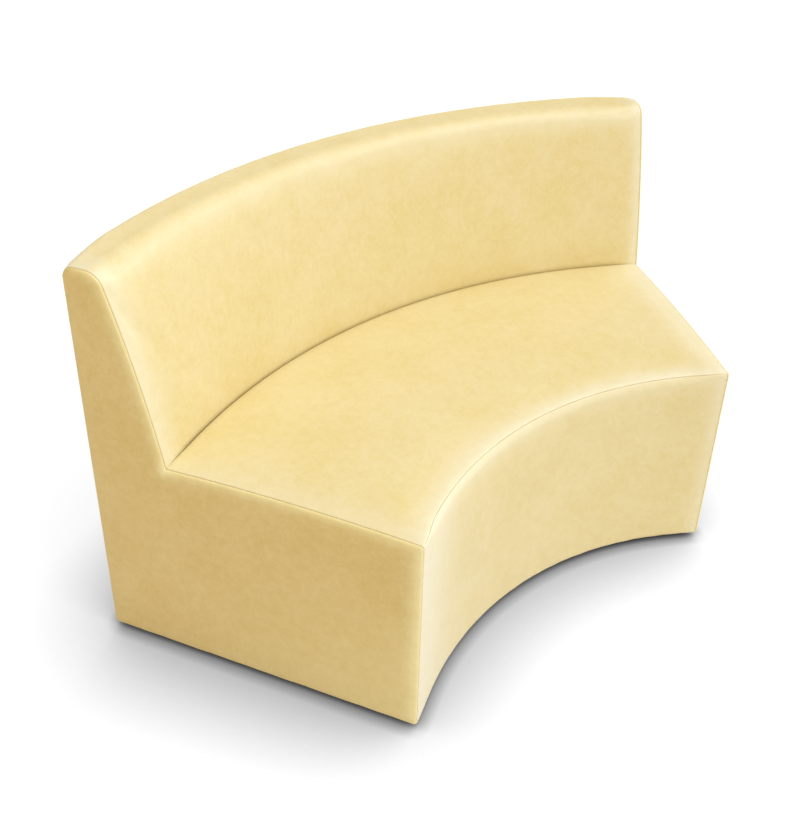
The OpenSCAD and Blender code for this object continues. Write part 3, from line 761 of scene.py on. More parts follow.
def highlit_rows(u, d, v, starts, worn, rubs):
    """How much highlight is painted on a ring, paler: how wide and strong it is beside the left
    and the right end seam, and for each line of the cover its stretch, share and width, and its
    strength left and right."""
    run, strength = worn[int(u > 0)]
    pale = np.full(len(v), strength * exp(-((d / run) ** 2)))
    for i, share, width, *ends in rubs:
        at = starts[i] + share * (starts[i + 1] - starts[i])
        strength = np.interp(u, (-HIGHLIGHT_SPAN, HIGHLIGHT_SPAN), ends)
        pale = 1 - (1 - pale) * (1 - strength * np.exp(-(((v - at) / width) ** 2)))
    return pale


print("a hem strays by up to", HEM_WAVE, "mm, and a seam puckers by", PUCKER, "mm")

# %% Net of a cover
# Before it swells, a cover lies this far in where it is open, which begins beside its edges.
REST_IN, OPEN_RUN, CREASE_REACH, NO_SEAM = 1.2, 45.0, 45.0, 1e6
# How much shade is painted on the cover beside the crease, and how fast it fades beside it and
# comes in down in the tuck.
CREASE_SHADE, CREASE_SHADE_RUN, TUCK_SHADE_RUN = 0.24, 5.0, 4.0
# Width and strength of the painted highlight beside the left and the right end seam.
EVEN_HIGHLIGHT = ((42, 0.7), (42, 0.7))


def widened(a, first, last):
    """The values of the rows, with those of the seam walls before and after them."""
    return np.concatenate([first, a, last])


def cover_net(section, steps, rings_, seams, open_parts, crease=0, rubs=(), seed=1.0,
              worn=EVEN_HIGHLIGHT, sewn=SEWN_DARK):
    """Points of a cover as [ring, row], with the attributes and places of its rows and rings.
    seams says whether it is sewn along its first and last row, open_parts names the stretches
    that swell, and crease is 1 where the tuck follows them, -1 where it comes before."""
    rows = shares(section(MIDWAY), steps, *seams)
    in_open = np.isin([i for i, _ in rows], range(open_parts[0], open_parts[1] + 1))
    before, after = (len(SEAM_WALL) if s else 0 for s in seams)
    wall = np.array(SEAM_WALL)
    out = dict(grid=[], seam=[], rub=[], u=[], open=[])
    for g in rings_:
        d, u = g["d"], g["u"]
        pts, normal, v, starts = lay_rows(section(d), rows)
        total = v[-1]
        lo, hi = starts[open_parts[0]], starts[open_parts[1] + 1]
        inward = -normal
        dv = np.minimum(v if seams[0] else NO_SEAM + v, total - v if seams[1] else NO_SEAM + v)
        # Painted shade in the seams round the cover.
        dark = np.maximum(sewn_shade(SEWN_DARK, d), sewn_shade(sewn, dv))
        if crease:
            at = hi if crease > 0 else lo
            pull = np.where((v - at) * crease > 0, 1.0, ease(1 - np.abs(v - at) / CREASE_REACH))
            inward = inward * (1 - pull)[:, None] + CREASE_MITER * pull[:, None]
            # Painted shade beside the crease, fading in towards the ends, and down in the tuck.
            shade = CREASE_SHADE * np.exp(-np.maximum((v - at) * -crease, 0) / CREASE_SHADE_RUN)
            dark = np.maximum(dark, shade * float(ease(d / TAPER)))
            low = ease((CREASE_Z - 0.3 - pts[:, 1]) / TUCK_SHADE_RUN)
            dark = np.where(in_open, dark, np.maximum(dark, low))
        # Painted highlight: paler beside the end seams and along the given lines.
        pale = highlit_rows(u, d, v, starts, worn, rubs)
        free = ease(np.minimum(v - lo, hi - v) / OPEN_RUN) * float(ease(d / OPEN_RUN))
        sink_v = seam_depth(dv) + REST_IN * free
        sink_v = sink_v + PUCKER * ripple(u, seed) * puckers(dv)
        sink_v = sink_v + PUCKER * ripple(v, seed + g["side"]) * float(puckers(d))

        pts, inward, normal = (widened(a, np.repeat(a[:1], before, 0), np.repeat(a[-1:], after, 0))
                               for a in (pts, inward, normal))
        sink_v = widened(sink_v, wall[:before] + sink_v[0], wall[::-1][:after] + sink_v[-1])
        v = widened(v, -wall[:before] * MM, total + wall[::-1][:after] * MM)
        dark = widened(dark, np.full(before, 2 * sewn), np.full(after, 2 * sewn))
        pale, free = (widened(a, np.zeros(before), np.zeros(after)) for a in (pale, free))

        k, a, st = float(drop(d)) * kept(-normal[:, 1]), g["a"], g["st"]
        if st is None:
            sink_u = float(seam_depth(d)) + g["sink"]
            st = end_station(g["side"], g["s"] + sink_u * sin(a))
            k = k + sink_u * cos(a)
        moved = pts + inward * k[:, None] - normal * sink_v[:, None]
        moved[:, 1] += hem_wave(u, moved[:, 1], seed) * float(ease(d / WAVE_RUN))
        for name, value in (("grid", place(st, moved)), ("seam", dark), ("rub", pale),
                            ("u", u), ("open", free)):
            out[name].append(value)
    return {**{name: np.array(values) for name, values in out.items()}, "v": v}


print("nets of covers can be laid")

# %% A closed piece from two nets
# The hidden side of a cover ends this far inside the ends of the bench.
INNER_IN = 14.0


def inner_net(line, n_rings, n_rows):
    """The hidden side of a padded piece: an even net along a line inside the bench."""
    pts = along(np.asarray(line, float), np.linspace(0, 1, n_rows))
    return np.array([place(mid_station(t, INNER_IN), pts) for t in np.linspace(-1, 1, n_rings)])


def closed_faces(n, m):
    """Faces of a closed skin: an outer net of n by m points, an inner one, and a rim."""
    i, j = np.meshgrid(np.arange(n - 1), np.arange(m - 1), indexing="ij")
    a = (i * m + j).ravel()
    quads = np.stack([a, a + 1, a + m + 1, a + m], -1)
    inner = quads[:, ::-1] + n * m
    loop = np.array([k for k in range(m)] + [k * m + m - 1 for k in range(1, n)]
                    + [(n - 1) * m + k for k in range(m - 2, -1, -1)]
                    + [k * m for k in range(n - 2, 0, -1)])
    nxt = np.roll(loop, -1)
    rim = np.stack([nxt, loop, loop + n * m, nxt + n * m], -1)
    return np.vstack([quads, inner, rim])


def volume_of(points, faces):
    p, f = np.asarray(points), np.asarray(faces)
    total = 0.0
    for k in range(1, f.shape[1] - 1):
        total += np.einsum("ij,ij->i", p[f[:, 0]], np.cross(p[f[:, k]], p[f[:, k + 1]])).sum() / 6
    return total


def mark(piece, name, values):
    """Gives a piece an attribute with a value for each of its first points, and 0 for the rest."""
    full = np.zeros(len(piece.data.vertices), np.float32)
    full[:len(values)] = values
    piece.data.attributes.new(name, "FLOAT", "POINT").data.foreach_set("value", full)


def closed_piece(name, outer, inner, material=VINYL):
    """A closed mesh object from an outer and an inner net, with its faces outwards."""
    n, m = outer.shape[:2]
    points = np.vstack([outer.reshape(-1, 3), inner.reshape(-1, 3)]) * MM
    faces = closed_faces(n, m)
    if volume_of(points, faces) < 0:
        faces = faces[:, ::-1]
    return mesh_object(name, points, faces, material)


print("nets can be closed to pieces")

# %% [markdown]
# ## Foam under tension
# Vinyl pulled over foam isn't flat: it stands proud in the open and is held down at the seams.
# Blender's cloth gives that shape. A coarse copy of each cover is held along its seams and
# blown up a little from inside. How far each point may move is capped, as foam would, and the
# movement is then carried over to the fine net.

# %% Cloth
SWELL_FRAMES, SWELL_PRESSURE, HELD_BELOW = 20, 4.0, 0.02


def read_points(obj):
    flat = np.empty(len(obj.data.vertices) * 3, np.float64)
    obj.data.vertices.foreach_get("co", flat)
    return flat.reshape(-1, 3)


def swell(piece, held, cap):
    """Blows a closed piece up from inside and returns how far each point moves, in metres."""
    rest = read_points(piece)
    group = piece.vertex_groups.new(name="held")
    group.add([int(i) for i in np.flatnonzero(held)], 1.0, "REPLACE")
    cloth = piece.modifiers.new("swell", "CLOTH")
    s = cloth.settings
    s.quality, s.mass = 6, 0.3
    s.tension_stiffness = s.compression_stiffness = 25
    s.shear_stiffness, s.bending_stiffness = 12, 3
    s.vertex_group_mass, s.pin_stiffness = "held", 1.0
    s.use_pressure, s.uniform_pressure_force = True, SWELL_PRESSURE
    s.effector_weights.gravity = 0
    cloth.point_cache.frame_start, cloth.point_cache.frame_end = 1, SWELL_FRAMES
    scene = bpy.context.scene
    for f in range(1, SWELL_FRAMES + 1):
        scene.frame_set(f)
    done = piece.evaluated_get(bpy.context.evaluated_depsgraph_get())
    now = read_points(done)
    piece.modifiers.remove(cloth)
    scene.frame_set(1)
    move = now - rest
    far = np.linalg.norm(move, axis=1, keepdims=True)
    return move * np.tanh(far / cap) * cap / np.maximum(far, 1e-9)


def smooth_between(x, knots, values):
    """Cubic interpolation of rows of values between uneven knots."""
    slope = np.gradient(values, knots, axis=0)
    i = np.clip(np.searchsorted(knots, x) - 1, 0, len(knots) - 2)
    h = (knots[i + 1] - knots[i]).reshape(-1, *[1] * (values.ndim - 1))
    t = np.clip((x - knots[i]).reshape(h.shape) / h, 0, 1)
    a, b = values[i], values[i + 1]
    m, w = slope[i] * h, slope[i + 1] * h
    return ((2 * t**3 - 3 * t**2 + 1) * a + (t**3 - 2 * t**2 + t) * m
            + (3 * t**2 - 2 * t**3) * b + (t**3 - t**2) * w)


def swelling(name, section, steps, inner_line, cap, open_parts, crease):
    """Simulates a coarse copy of a cover and returns a function that gives its movement."""
    few = [g for g in rings(COARSE_RING) if g["sink"] == 0 and g["d"] not in FINE_ONLY]
    blank = cover_net(section, steps, few, (False, False), open_parts, crease)
    n, m = blank["grid"].shape[:2]
    body = closed_piece(name + "_blank", blank["grid"], inner_net(inner_line, n, m))
    held = np.ones(2 * n * m, bool)
    held[:n * m] = blank["open"].ravel() < HELD_BELOW
    began = time.time()
    move = swell(body, held, cap)[:n * m].reshape(n, m, 3) / MM
    print(name, "swelled by up to", round(float(np.linalg.norm(move, axis=2).max()), 1), "mm in",
          round(time.time() - began, 1), "s,", n * m, "points")
    bpy.data.objects.remove(body)

    def within(x, knots, values):
        return smooth_between(np.clip(x, knots[0], knots[-1]), knots, values)

    def movement(us, v):
        by_ring = within(us, blank["u"], move)
        return within(v, blank["v"], by_ring.transpose(1, 0, 2)).transpose(1, 0, 2)

    return movement


# %% [markdown]
# ## The padded covers
# The same steps make each of the four swept covers: simulate a coarse copy, lay the fine net,
# add the movement, close it with its hidden side, and say which solids it stands for. Each
# line below also says where a highlight is painted on the cover, paler: beside the end seams,
# along the front edge of the seat, along the top edges, and faintly over the left of the front.

# %% Build a swept cover
# The bent panel lies this far behind the crease below, and behind the back's edge above.
PANEL_LOW_IN, PANEL_HIGH_IN = 50.0, 28.0
# How far, in metres, foam lets its cover swell: thick foam, thin pads, and the ends.
BODY_SWELL, FACE_SWELL, END_SWELL = 0.0032, 0.002, 0.0025


def panel_r(z):
    """Front face of the bent panel behind the back foam, at height z."""
    low, high = CREASE_R + PANEL_LOW_IN, REAR_R - BACK_TOP_T + PANEL_HIGH_IN
    return low + (high - low) * (z - CREASE_Z) / (TOTAL_H - CREASE_Z)


def own(piece, slot, *solids):
    """Every piece rides on the bench and stands for solids, which it hides. The slot is not used.
    """
    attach(piece, "root")
    if solids:
        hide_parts(*solids)


def swept_cover(name, section, solids, fine, coarse, inner_line, seams, open_parts, cap,
                crease=0, **looks):
    """Makes a cover from its fine and coarse row steps, with its hidden side along inner_line."""
    move = swelling(name, section, coarse, inner_line, cap, open_parts, crease)
    made_net = cover_net(section, fine, net, seams, open_parts, crease, **looks)
    grid = made_net["grid"] + move(made_net["u"], made_net["v"]) * made_net["open"][:, :, None]
    made = closed_piece(name, grid, inner_net(inner_line, *grid.shape[:2]))
    mark(made, "seam", made_net["seam"].ravel())
    mark(made, "highlit", made_net["rub"].ravel())
    own(made, "vinyl", *solids)
    print(name, len(made.data.polygons), "faces")
    return grid


# %% Seat
# From the front edge, over the seat and down the bend into the tuck.
# Painted highlight along the front edge and beside the ends, painted shade beside the crease and
# down the tuck.
seat_net = swept_cover(
    "seat_cushion", seat_section, ("seat_cover", "seat_foam"),
    fine=(2.5, 7.0, 0.8, 9.0), coarse=(9.0, 20.0, 3.0, 18.0),
    inner_line=[(FRONT_R + 14, DECK_TOP + 0.5), (CREASE_R - 3, DECK_TOP + 0.5)],
    seams=(True, False), open_parts=(0, 1), cap=BODY_SWELL, crease=1, seed=1.3,
    rubs=[(0, 0.0, 31, 0.85, 0.95)], worn=((42, 0.35), (60, 0.75)), sewn=0.16)

# %% Back
# Up out of the tuck, up the slope, and over the rounded top to the rear seam.
# Painted highlight on the top edge, along the rear seam and beside the ends, painted shade beside
# the crease and down the tuck.
swept_cover(
    "back_cushion", back_section, ("inside_back_cover", "back_foam"),
    fine=(9.0, 1.2, 7.0, 3.0, 6.0, 2.0), coarse=(18.0, 3.0, 20.0, 10.0, 15.0, 6.0),
    inner_line=[(CREASE_R + 3, DECK_TOP + 0.5), (panel_r(DECK_TOP) - 0.5, DECK_TOP + 0.5),
                (panel_r(FRAME_TOP) - 0.5, FRAME_TOP + 0.5), (REAR_R - 13, FRAME_TOP + 0.5)],
    seams=(False, True), open_parts=(2, 5), cap=BODY_SWELL, crease=-1, seed=2.1,
    rubs=[(3, 0.15, 26, 0.3, 0.5), (5, 1.0, 12, 0.3, 0.3)], worn=((42, 0.7), (24, 0.8)))

# %% Front
# From the hem under the frame, round the bottom edge and up the face to the front seam.
# Painted highlight along the front seam, faintly over the lower left of the face, and beside the
# ends.
front_net = swept_cover(
    "front_padding", front_section, ("front_cover", "front_pad"),
    fine=(8.0, 2.5, 7.0, 2.5), coarse=(15.0, 6.0, 20.0, 9.0),
    inner_line=[(FRONT_R + HEM_W, FLOOR_GAP + COVER_T), (FRONT_R + 15, FLOOR_GAP + COVER_T),
                (FRONT_R + 6, FLOOR_GAP + 16), (FRONT_R + 6, SEAT_H - 24),
                (FRONT_R + 11, SEAT_H - 15)],
    seams=(False, True), open_parts=(2, 3), cap=FACE_SWELL, seed=3.4,
    rubs=[(3, 1.0, 30, 0.95, 0.5), (2, 0.0, 170, 0.2, 0.0)], worn=((190, 0.95), (30, 0.5)),
    sewn=0.16)

# %% Rear
# Down from the rear seam and round the bottom edge to the hem under the frame.
rear_net = swept_cover(
    # Painted highlight along the top seam and beside the ends.
    "rear_padding", rear_section, ("outside_back_cover", "rear_pad"),
    fine=(2.0, 8.0, 2.5, 8.0), coarse=(6.0, 24.0, 6.0, 15.0),
    inner_line=[(REAR_R - 10, TOTAL_H - 12), (REAR_R - 6, TOTAL_H - 18),
                (REAR_R - 6, FLOOR_GAP + 16), (REAR_R - 15, FLOOR_GAP + COVER_T),
                (REAR_R - HEM_W, FLOOR_GAP + COVER_T)],
    seams=(True, False), open_parts=(0, 1), cap=FACE_SWELL, seed=4.2,
    rubs=[(0, 0.0, 14, 0.6, 0.6)], worn=((42, 0.4), (42, 0.4)))

# %% [markdown]
# ## The ends
# Each end is one flat panel of vinyl over a thin pad, cut to the outline of the bench and sewn
# to the four swept covers in one seam that runs right round it. Its edge is rolled over the
# corner. The flat middle is filled with triangles, and then swells as the other covers do.

# %% Outline of an end
def end_outline():
    """The outline as one closed line of evenly spaced points, with its corners kept."""
    edge, top = front_edge(0), rear_edge(0)
    lines = [(np.array([rear_hem[-1], front_hem[0]]), 7), (front_hem, 2.5),
             (np.array([front_hem[-1], edge[0]]), 7), (edge, 2), (seat_line(0), 7), (back_line, 7),
             (top_edge, 4), (np.array([top_edge[-1], top[0]]), 6), (top, 2.5),
             (np.array([top[-1], rear_hem[0]]), 7), (rear_hem, 2.5)]
    pts = [along(line, np.linspace(0, 1, max(2, round(lengths(line)[-1] / step) + 1))[:-1])
           for line, step in lines]
    return np.vstack(pts)


def inward_at(pts):
    """How each point of a closed line moves when the line sinks by one millimetre."""
    m, w = pts - np.roll(pts, 1, 0), np.roll(pts, -1, 0) - pts
    m = np.stack([m[:, 1], -m[:, 0]], -1) / np.linalg.norm(m, axis=1)[:, None]
    w = np.stack([w[:, 1], -w[:, 0]], -1) / np.linalg.norm(w, axis=1)[:, None]
    return (m + w) / (1 + (m * w).sum(1))[:, None]


END_LINE = end_outline()
END_IN = inward_at(END_LINE)
print(len(END_LINE), "points round an end")

# %% The rolled edge of an end
# Width of the triangles in an end, its thickness, how far in its flat begins, and how full
# the roll before it is.
END_CELL, END_THICK, END_FLAT, ROLL_PULL = 13.0, 7.0, CORNER_R - 0.8, 2.1
# How finely the roll is drawn, and where on it the groove of the seam has faded out.
ROLL_POINTS, LAST_STEP, WAY_SPAN, GROOVE_FADE = 41, 0.8, 0.3, 4.0


def end_roll():
    """The roll from the seam to the flat face, as (depth, sink) points, and their distances
    from the seam."""
    p0, p1, p2 = (np.array(p) for p in ((SEAM_IN, SEAM_DROP), (0, SEAM_DROP + ROLL_PULL),
                                        (0, END_FLAT)))
    f = np.linspace(0, 1, ROLL_POINTS)[:, None]
    line = (1 - f) ** 2 * p0 + 2 * f * (1 - f) * p1 + f * f * p2
    at = lengths(line)
    steps = np.array([d for d in SEAM_STEPS if d < at[-1] - LAST_STEP] + [at[-1]])

    def on_line(d):
        return np.stack([np.interp(d, at, line[:, i]) for i in (0, 1)], -1)

    t = on_line(steps + WAY_SPAN) - on_line(steps - WAY_SPAN)
    t /= np.linalg.norm(t, axis=1)[:, None]
    inner = np.stack([t[:, 1], -t[:, 0]], -1)
    fade = 1 - ease((steps - GROOVE_FADE) / GROOVE_FADE)
    return on_line(steps) + inner * (seam_depth(steps) * fade)[:, None], steps


ROLL, ROLL_D = end_roll()
WALL = [ROLL[0] + np.array([sin(SEAM_TURN), cos(SEAM_TURN)]) * depth for depth in SEAM_WALL]
# Layers of points from the hidden side up the wall of the seam and over the roll.
LAYERS = np.array([(END_THICK, END_FLAT), *WALL, *ROLL])
# How much of each layer's sink is the fall of the seam, which is mostly left out underneath.
LOWERED = np.array([0.0, *[1.0] * len(WALL), *(1 - ROLL_D / ROLL_D[-1])]) * SEAM_DROP
UPWARDS = END_IN[:, 1] / np.linalg.norm(END_IN, axis=1)
END_SPAN = place(end_station(1, 0), [(FRONT_R, 0), (REAR_R, 0)])[:, 1] + (10, -10)
print(len(LAYERS), "layers in the rolled edge")


def end_wave(points, side):
    """How much the lower edge of an end strays up or down."""
    y = points[..., 1]
    fade = ease((y - END_SPAN[0]) / WAVE_RUN) * ease((END_SPAN[1] - y) / WAVE_RUN)
    return hem_wave(y, points[..., 2], 5.0 + side) * fade


# %% Fill the flat of an end
# Points lie in rows this far apart, and none lies closer to the edge than this.
ROW_STEP, KEEP_OFF = END_CELL * 0.87, END_CELL * 0.62


def inside(poly, pts):
    """Which points lie inside a closed line."""
    x, y = pts[:, 0], pts[:, 1]
    odd = np.zeros(len(pts), bool)
    for (x0, y0), (x1, y1) in zip(poly, np.roll(poly, -1, 0)):
        if y0 != y1:
            cross = (y0 > y) != (y1 > y)
            odd ^= cross & (x < (x1 - x0) * (y - y0) / (y1 - y0) + x0)
    return odd


def flat_middle(line):
    """Points inside a closed line in the end's plane, triangles over all of them, and how far
    each point is from the line."""
    lo, hi = line.min(0), line.max(0)
    xs, ys = np.arange(lo[0], hi[0], END_CELL), np.arange(lo[1], hi[1], ROW_STEP)
    pts = np.array([(x + (END_CELL / 2 if j % 2 else 0), y) for j, y in enumerate(ys) for x in xs])
    pts = pts[inside(line, pts)]
    near = np.array([np.linalg.norm(line - p, axis=1).min() for p in pts])
    pts, near = pts[near > KEEP_OFF], near[near > KEEP_OFF]
    both = [Vector(p) for p in np.vstack([line, pts])]
    made = delaunay_2d_cdt(both, [], [list(range(len(line)))], 1, 1e-6)
    where = {new: old[0] for new, old in enumerate(made[3])}
    return pts, [[where[i] for i in f] for f in made[2]], near


print("the flat of an end gets points", END_CELL, "mm apart")

# %% Painted highlights on an end
# Strength and reach of each painted highlight: along the seams, down the front edge, at the corner
# of the crease, and faintly over the lower front, whose reach is given along and up.
END_HIGHLIGHTS = dict(seam=(1.25, 9.0), front=(0.95, 22.0), crease=(1.0, 16.0), low=(0.42, 450.0, 240.0))
FADE_BEHIND = 60.0


def end_highlight(r, z, d):
    """How much highlight is painted on an end at a radius and height, and at a distance d from the
    seam.
    """
    strength, run = END_HIGHLIGHTS["seam"]
    seam = strength * np.exp(-d / run) * ease((REAR_R - r) / FADE_BEHIND) * ease(z / FADE_BEHIND)
    strength, run = END_HIGHLIGHTS["front"]
    front = strength * np.exp(-(((r - FRONT_R) / run) ** 2))
    strength, run = END_HIGHLIGHTS["crease"]
    crease = strength * np.exp(-((np.hypot(r - CREASE_R, z - CREASE_Z) / run) ** 2))
    strength, along_r, along_z = END_HIGHLIGHTS["low"]
    low = strength * np.exp(-(((r - FRONT_R) / along_r) ** 2) - (z / along_z) ** 2)
    return 1 - (1 - np.minimum(1, seam)) * (1 - front) * (1 - crease) * (1 - low)


# The places where a highlight is painted on an end.
print("an end is rubbed in these places:", *END_HIGHLIGHTS)

# %% Points and faces of an end
def in_plane(side, s, pts):
    """Points given as (way along, height) in an end's plane, s inside it, in millimetres."""
    x0, y0, turn, _ = end_station(side, s)
    x, y = side * (x0 + pts[:, 0] * sin(turn)), y0 + pts[:, 0] * cos(turn) + ARC_Y
    return np.stack([x, y, pts[:, 1]], -1)


def ring_faces(n, m):
    """Faces between n closed loops of m points."""
    return [(i * m + j, i * m + (j + 1) % m, (i + 1) * m + (j + 1) % m, (i + 1) * m + j)
            for i in range(n - 1) for j in range(m)]


def end_faces(n, m, n_flat, tris):
    """Faces of an end: n loops of m points, and the flat filled on the outside and inside."""
    faces = ring_faces(n, m)
    over, under = n * m - m, n * m + n_flat - m
    faces += [tuple(i + over for i in f) for f in tris]
    faces += [tuple(i if i < m else i + under for i in f)[::-1] for f in tris]
    return faces


def face_outwards(piece):
    """Turns every face of a closed piece outwards."""
    tidy = bmesh.new()
    tidy.from_mesh(piece.data)
    bmesh.ops.recalc_face_normals(tidy, faces=tidy.faces)
    tidy.to_mesh(piece.data)
    tidy.free()


print("a loop of an end has", len(ring_faces(2, len(END_LINE))), "faces")

# %% Build an end
def end_piece(name, side, solids):
    """Makes an end and returns its loop of points at the seam, and the way out of the seam."""
    sunk = [k - low * (1 - kept(UPWARDS)) for (_, k), low in zip(LAYERS, LOWERED)]
    loops = [place(end_station(side, s), END_LINE + END_IN * k[:, None])
             for (s, _), k in zip(LAYERS, sunk)]
    rim, st = END_LINE + END_IN * END_FLAT, end_station(side, 0.0)
    pts, tris, near = flat_middle(np.stack([reach(st, rim[:, 0]), rim[:, 1]], -1))
    n, m = len(loops), len(END_LINE)
    points = np.vstack([*loops, in_plane(side, 0.0, pts), in_plane(side, END_THICK, pts)])
    points[:, 2] += end_wave(points, side)
    made = mesh_object(name, points * MM, end_faces(n, m, len(pts), tris), SHADED_END_VINYL)
    face_outwards(made)

    held = np.ones(len(points), bool)
    held[n * m:n * m + len(pts)] = False
    began = time.time()
    move = swell(made, held, END_SWELL)
    print(name, "swelled in", round(time.time() - began, 1), "s")
    made.data.vertices.foreach_set("co", (read_points(made) + move).ravel())
    made.data.update()

    ahead = 1 + len(SEAM_WALL)
    dist = np.concatenate([np.zeros(ahead), ROLL_D])
    # Painted shade in the seam round the end, none on the loop at its back.
    dark = np.where(np.arange(n) == 0, 0, sewn_shade(SEWN_DARK, dist))
    mark(made, "seam", np.repeat(dark, m))
    # Painted highlights on the end, none on its back loop or down the wall of the seam.
    flat_r = FRONT_R + pts[:, 0] - reach(st, FRONT_R)
    worn = end_highlight(np.concatenate([np.tile(END_LINE[:, 0], n), flat_r]),
                   np.concatenate([np.tile(END_LINE[:, 1], n), pts[:, 1]]),
                   np.concatenate([np.repeat(dist, m), near + ROLL_D[-1]]))
    worn[:ahead * m] = 0
    mark(made, "highlit", worn)
    own(made, "vinyl", *solids)
    print(name, len(made.data.polygons), "faces")
    return loops[ahead], loops[ahead] - loops[ahead - 1]


left_seam = end_piece("left_end_padding", -1, ("left_end_cover", "left_end_pad"))
right_seam = end_piece("right_end_padding", 1, ("right_end_cover", "right_end_pad"))

# %% [markdown]
# ## The underside
# The end covers are turned under the frame too, as hems forty millimetres wide. A sheet of
# black dust cloth then closes the bottom. Its edge is folded in once and lies over the hems.
# The cloth lies close to the frame, and hangs a little between the two rows of glides.

# %% Hems of the ends
HEM_STEPS = np.array(SEAM_STEPS + [12.0, 17.0, 22.0, 27.0, 32.0, HEM_W - SEAM_IN - 0.5])
HEM_FRONT_R, HEM_REAR_R = FRONT_R + HEM_W + 0.3, REAR_R - HEM_W - 0.3
HEM_STEP, HEM_ENDS, SEAM_ALLOWANCE = 8.0, (0.0, 1.0, 2.5), 3.0
# Its short edges are tucked up a little, and beside the seam its waves and extra depth fade.
TUCKED_UP, TUCKED_RUN, HEM_WAVE_RUN, SEAM_FILL_RUN, THIN_RUN = 1.0, 2.5, 6.0, 1.5, 15.0


def low_hem(d):
    """The height of an end's hem at a distance d from the seam."""
    return FLOOR_GAP + SEAM_DROP * UNDER_KEPT * np.maximum(0, 1 - d / UNDER_RUN) ** 2


def end_hem(name, side, solid):
    """The part of an end cover that is turned under, as a thin sheet from the seam inwards."""
    d = np.concatenate([np.zeros(len(SEAM_WALL)), HEM_STEPS])
    deep = np.concatenate([SEAM_WALL, np.zeros(len(HEM_STEPS))])
    rs = graded(HEM_REAR_R - HEM_FRONT_R, HEM_STEP, HEM_ENDS, HEM_ENDS) + HEM_FRONT_R
    tucked = TUCKED_UP * (1 - ease(np.minimum(rs - rs[0], rs[-1] - rs) / TUCKED_RUN))

    def row(s, z):
        return place(end_station(side, s), np.stack([rs, z], -1))

    lower, upper = [], []
    for s, dd, depth in zip(SEAM_IN + SEAM_CLEAR + d + deep * sin(SEAM_TURN), d, deep):
        z = low_hem(dd) + tucked
        z = z + end_wave(row(s, z), side) * (1 - ease(dd / HEM_WAVE_RUN))
        above = z + COVER_T + (SEAM_WALL[0] + SEAM_DEPTH) * exp(-((dd / SEAM_FILL_RUN) ** 2))
        lower.append(row(s, z + float(seam_depth(dd)) + depth))
        upper.append(row(s + COVER_T * max(0.0, 1 - dd / THIN_RUN), above))
    made = closed_piece(name, np.array(lower), np.array(upper), SHADED_END_VINYL)
    # Painted shade in the seam: full down its wall, and fading beside it.
    dark = np.where(deep > 0, 1.0, sewn_shade(SEWN_DARK, d))
    mark(made, "seam", np.repeat(dark, len(rs)))
    own(made, "vinyl", solid)
    print(name, len(made.data.polygons), "faces")


end_hem("left_end_turned_hem", -1, "left_end_hem")
end_hem("right_end_turned_hem", 1, "right_end_hem")

# %% Dust cloth material
DUST_DARK, DUST_PALE = (0.014, 0.014, 0.015, 1), (0.050, 0.050, 0.053, 1)


def dust_material():
    """Black non-woven cloth: a dull felt of pressed fibres with a faint pattern of pits."""
    made, tree = new_material("black_dust_cloth")
    coords = object_coords(tree)
    fibres = noise(tree, coords, 900.0, 6.0, 0.7)
    felt = combine(tree, noise(tree, coords, 35.0, 3.0), 0.6, fibres)
    tone = mix_colour(tree, between(tree, felt, 0.55, 1.1), DUST_DARK, DUST_PALE)
    pits = combine(tree, cells(tree, coords, 480.0), 0.8, fibres)
    finish(tree, tone, 0.93, bump(tree, pits, 0.5, 0.0003), **{"Specular IOR Level": 0.3})
    return made


DUST_CLOTH = dust_material()
print("made", DUST_CLOTH.name)

# %% Shape of the dust cloth
# The cloth's edges, its thickness, and the height of its lower side in the open.
CLOTH_FRONT_R, CLOTH_REAR_R, CLOTH_S = FRONT_R + 28.0, REAR_R - 28.0, 28.0
CLOTH_T, CLOTH_Z = 0.55, 10.75
# Its folded edge, which laps over the hems, and the ease with which it comes off them.
FOLD_W, FOLD_RUN, LAP, LAP_RUN, LAP_CLEAR, EDGE_ROUND = 12.0, 1.2, 14.0, 5.0, 0.1, 0.8
# Its sag and wrinkles, which begin some way in from the edge.
CLOTH_SAG, WRINKLE, SAG_FROM, SAG_RUN = 1.2, 0.35, 59.0, 80.0
CLOTH_STEP, CLOTH_RING, ABOVE_HEMS = 7.0, 7.5, FLOOR_GAP + 2.0
# Rows beside an edge are closest at the edge itself and where the fold ends.
EDGE_ROWS = np.array([0, 0.3, 0.8, 2.5, 5, 8, 10.8, 11.6, 12.4, 13.2, 14, 15.2, 16.5, 17.8, 19,
                      22])
# This many points of a hem's edge lie close to each end, and its height isn't read there.
HEM_CUT = 14


def way_round(pts):
    return np.arctan2(pts[:, 0], pts[:, 1] - ARC_Y)


def hem_height(edge, pts):
    """How high a hem lies beside each point, from the points of the hem's edge."""
    edge = edge[HEM_CUT:-HEM_CUT]
    return np.interp(way_round(pts), way_round(edge), edge[:, 2])


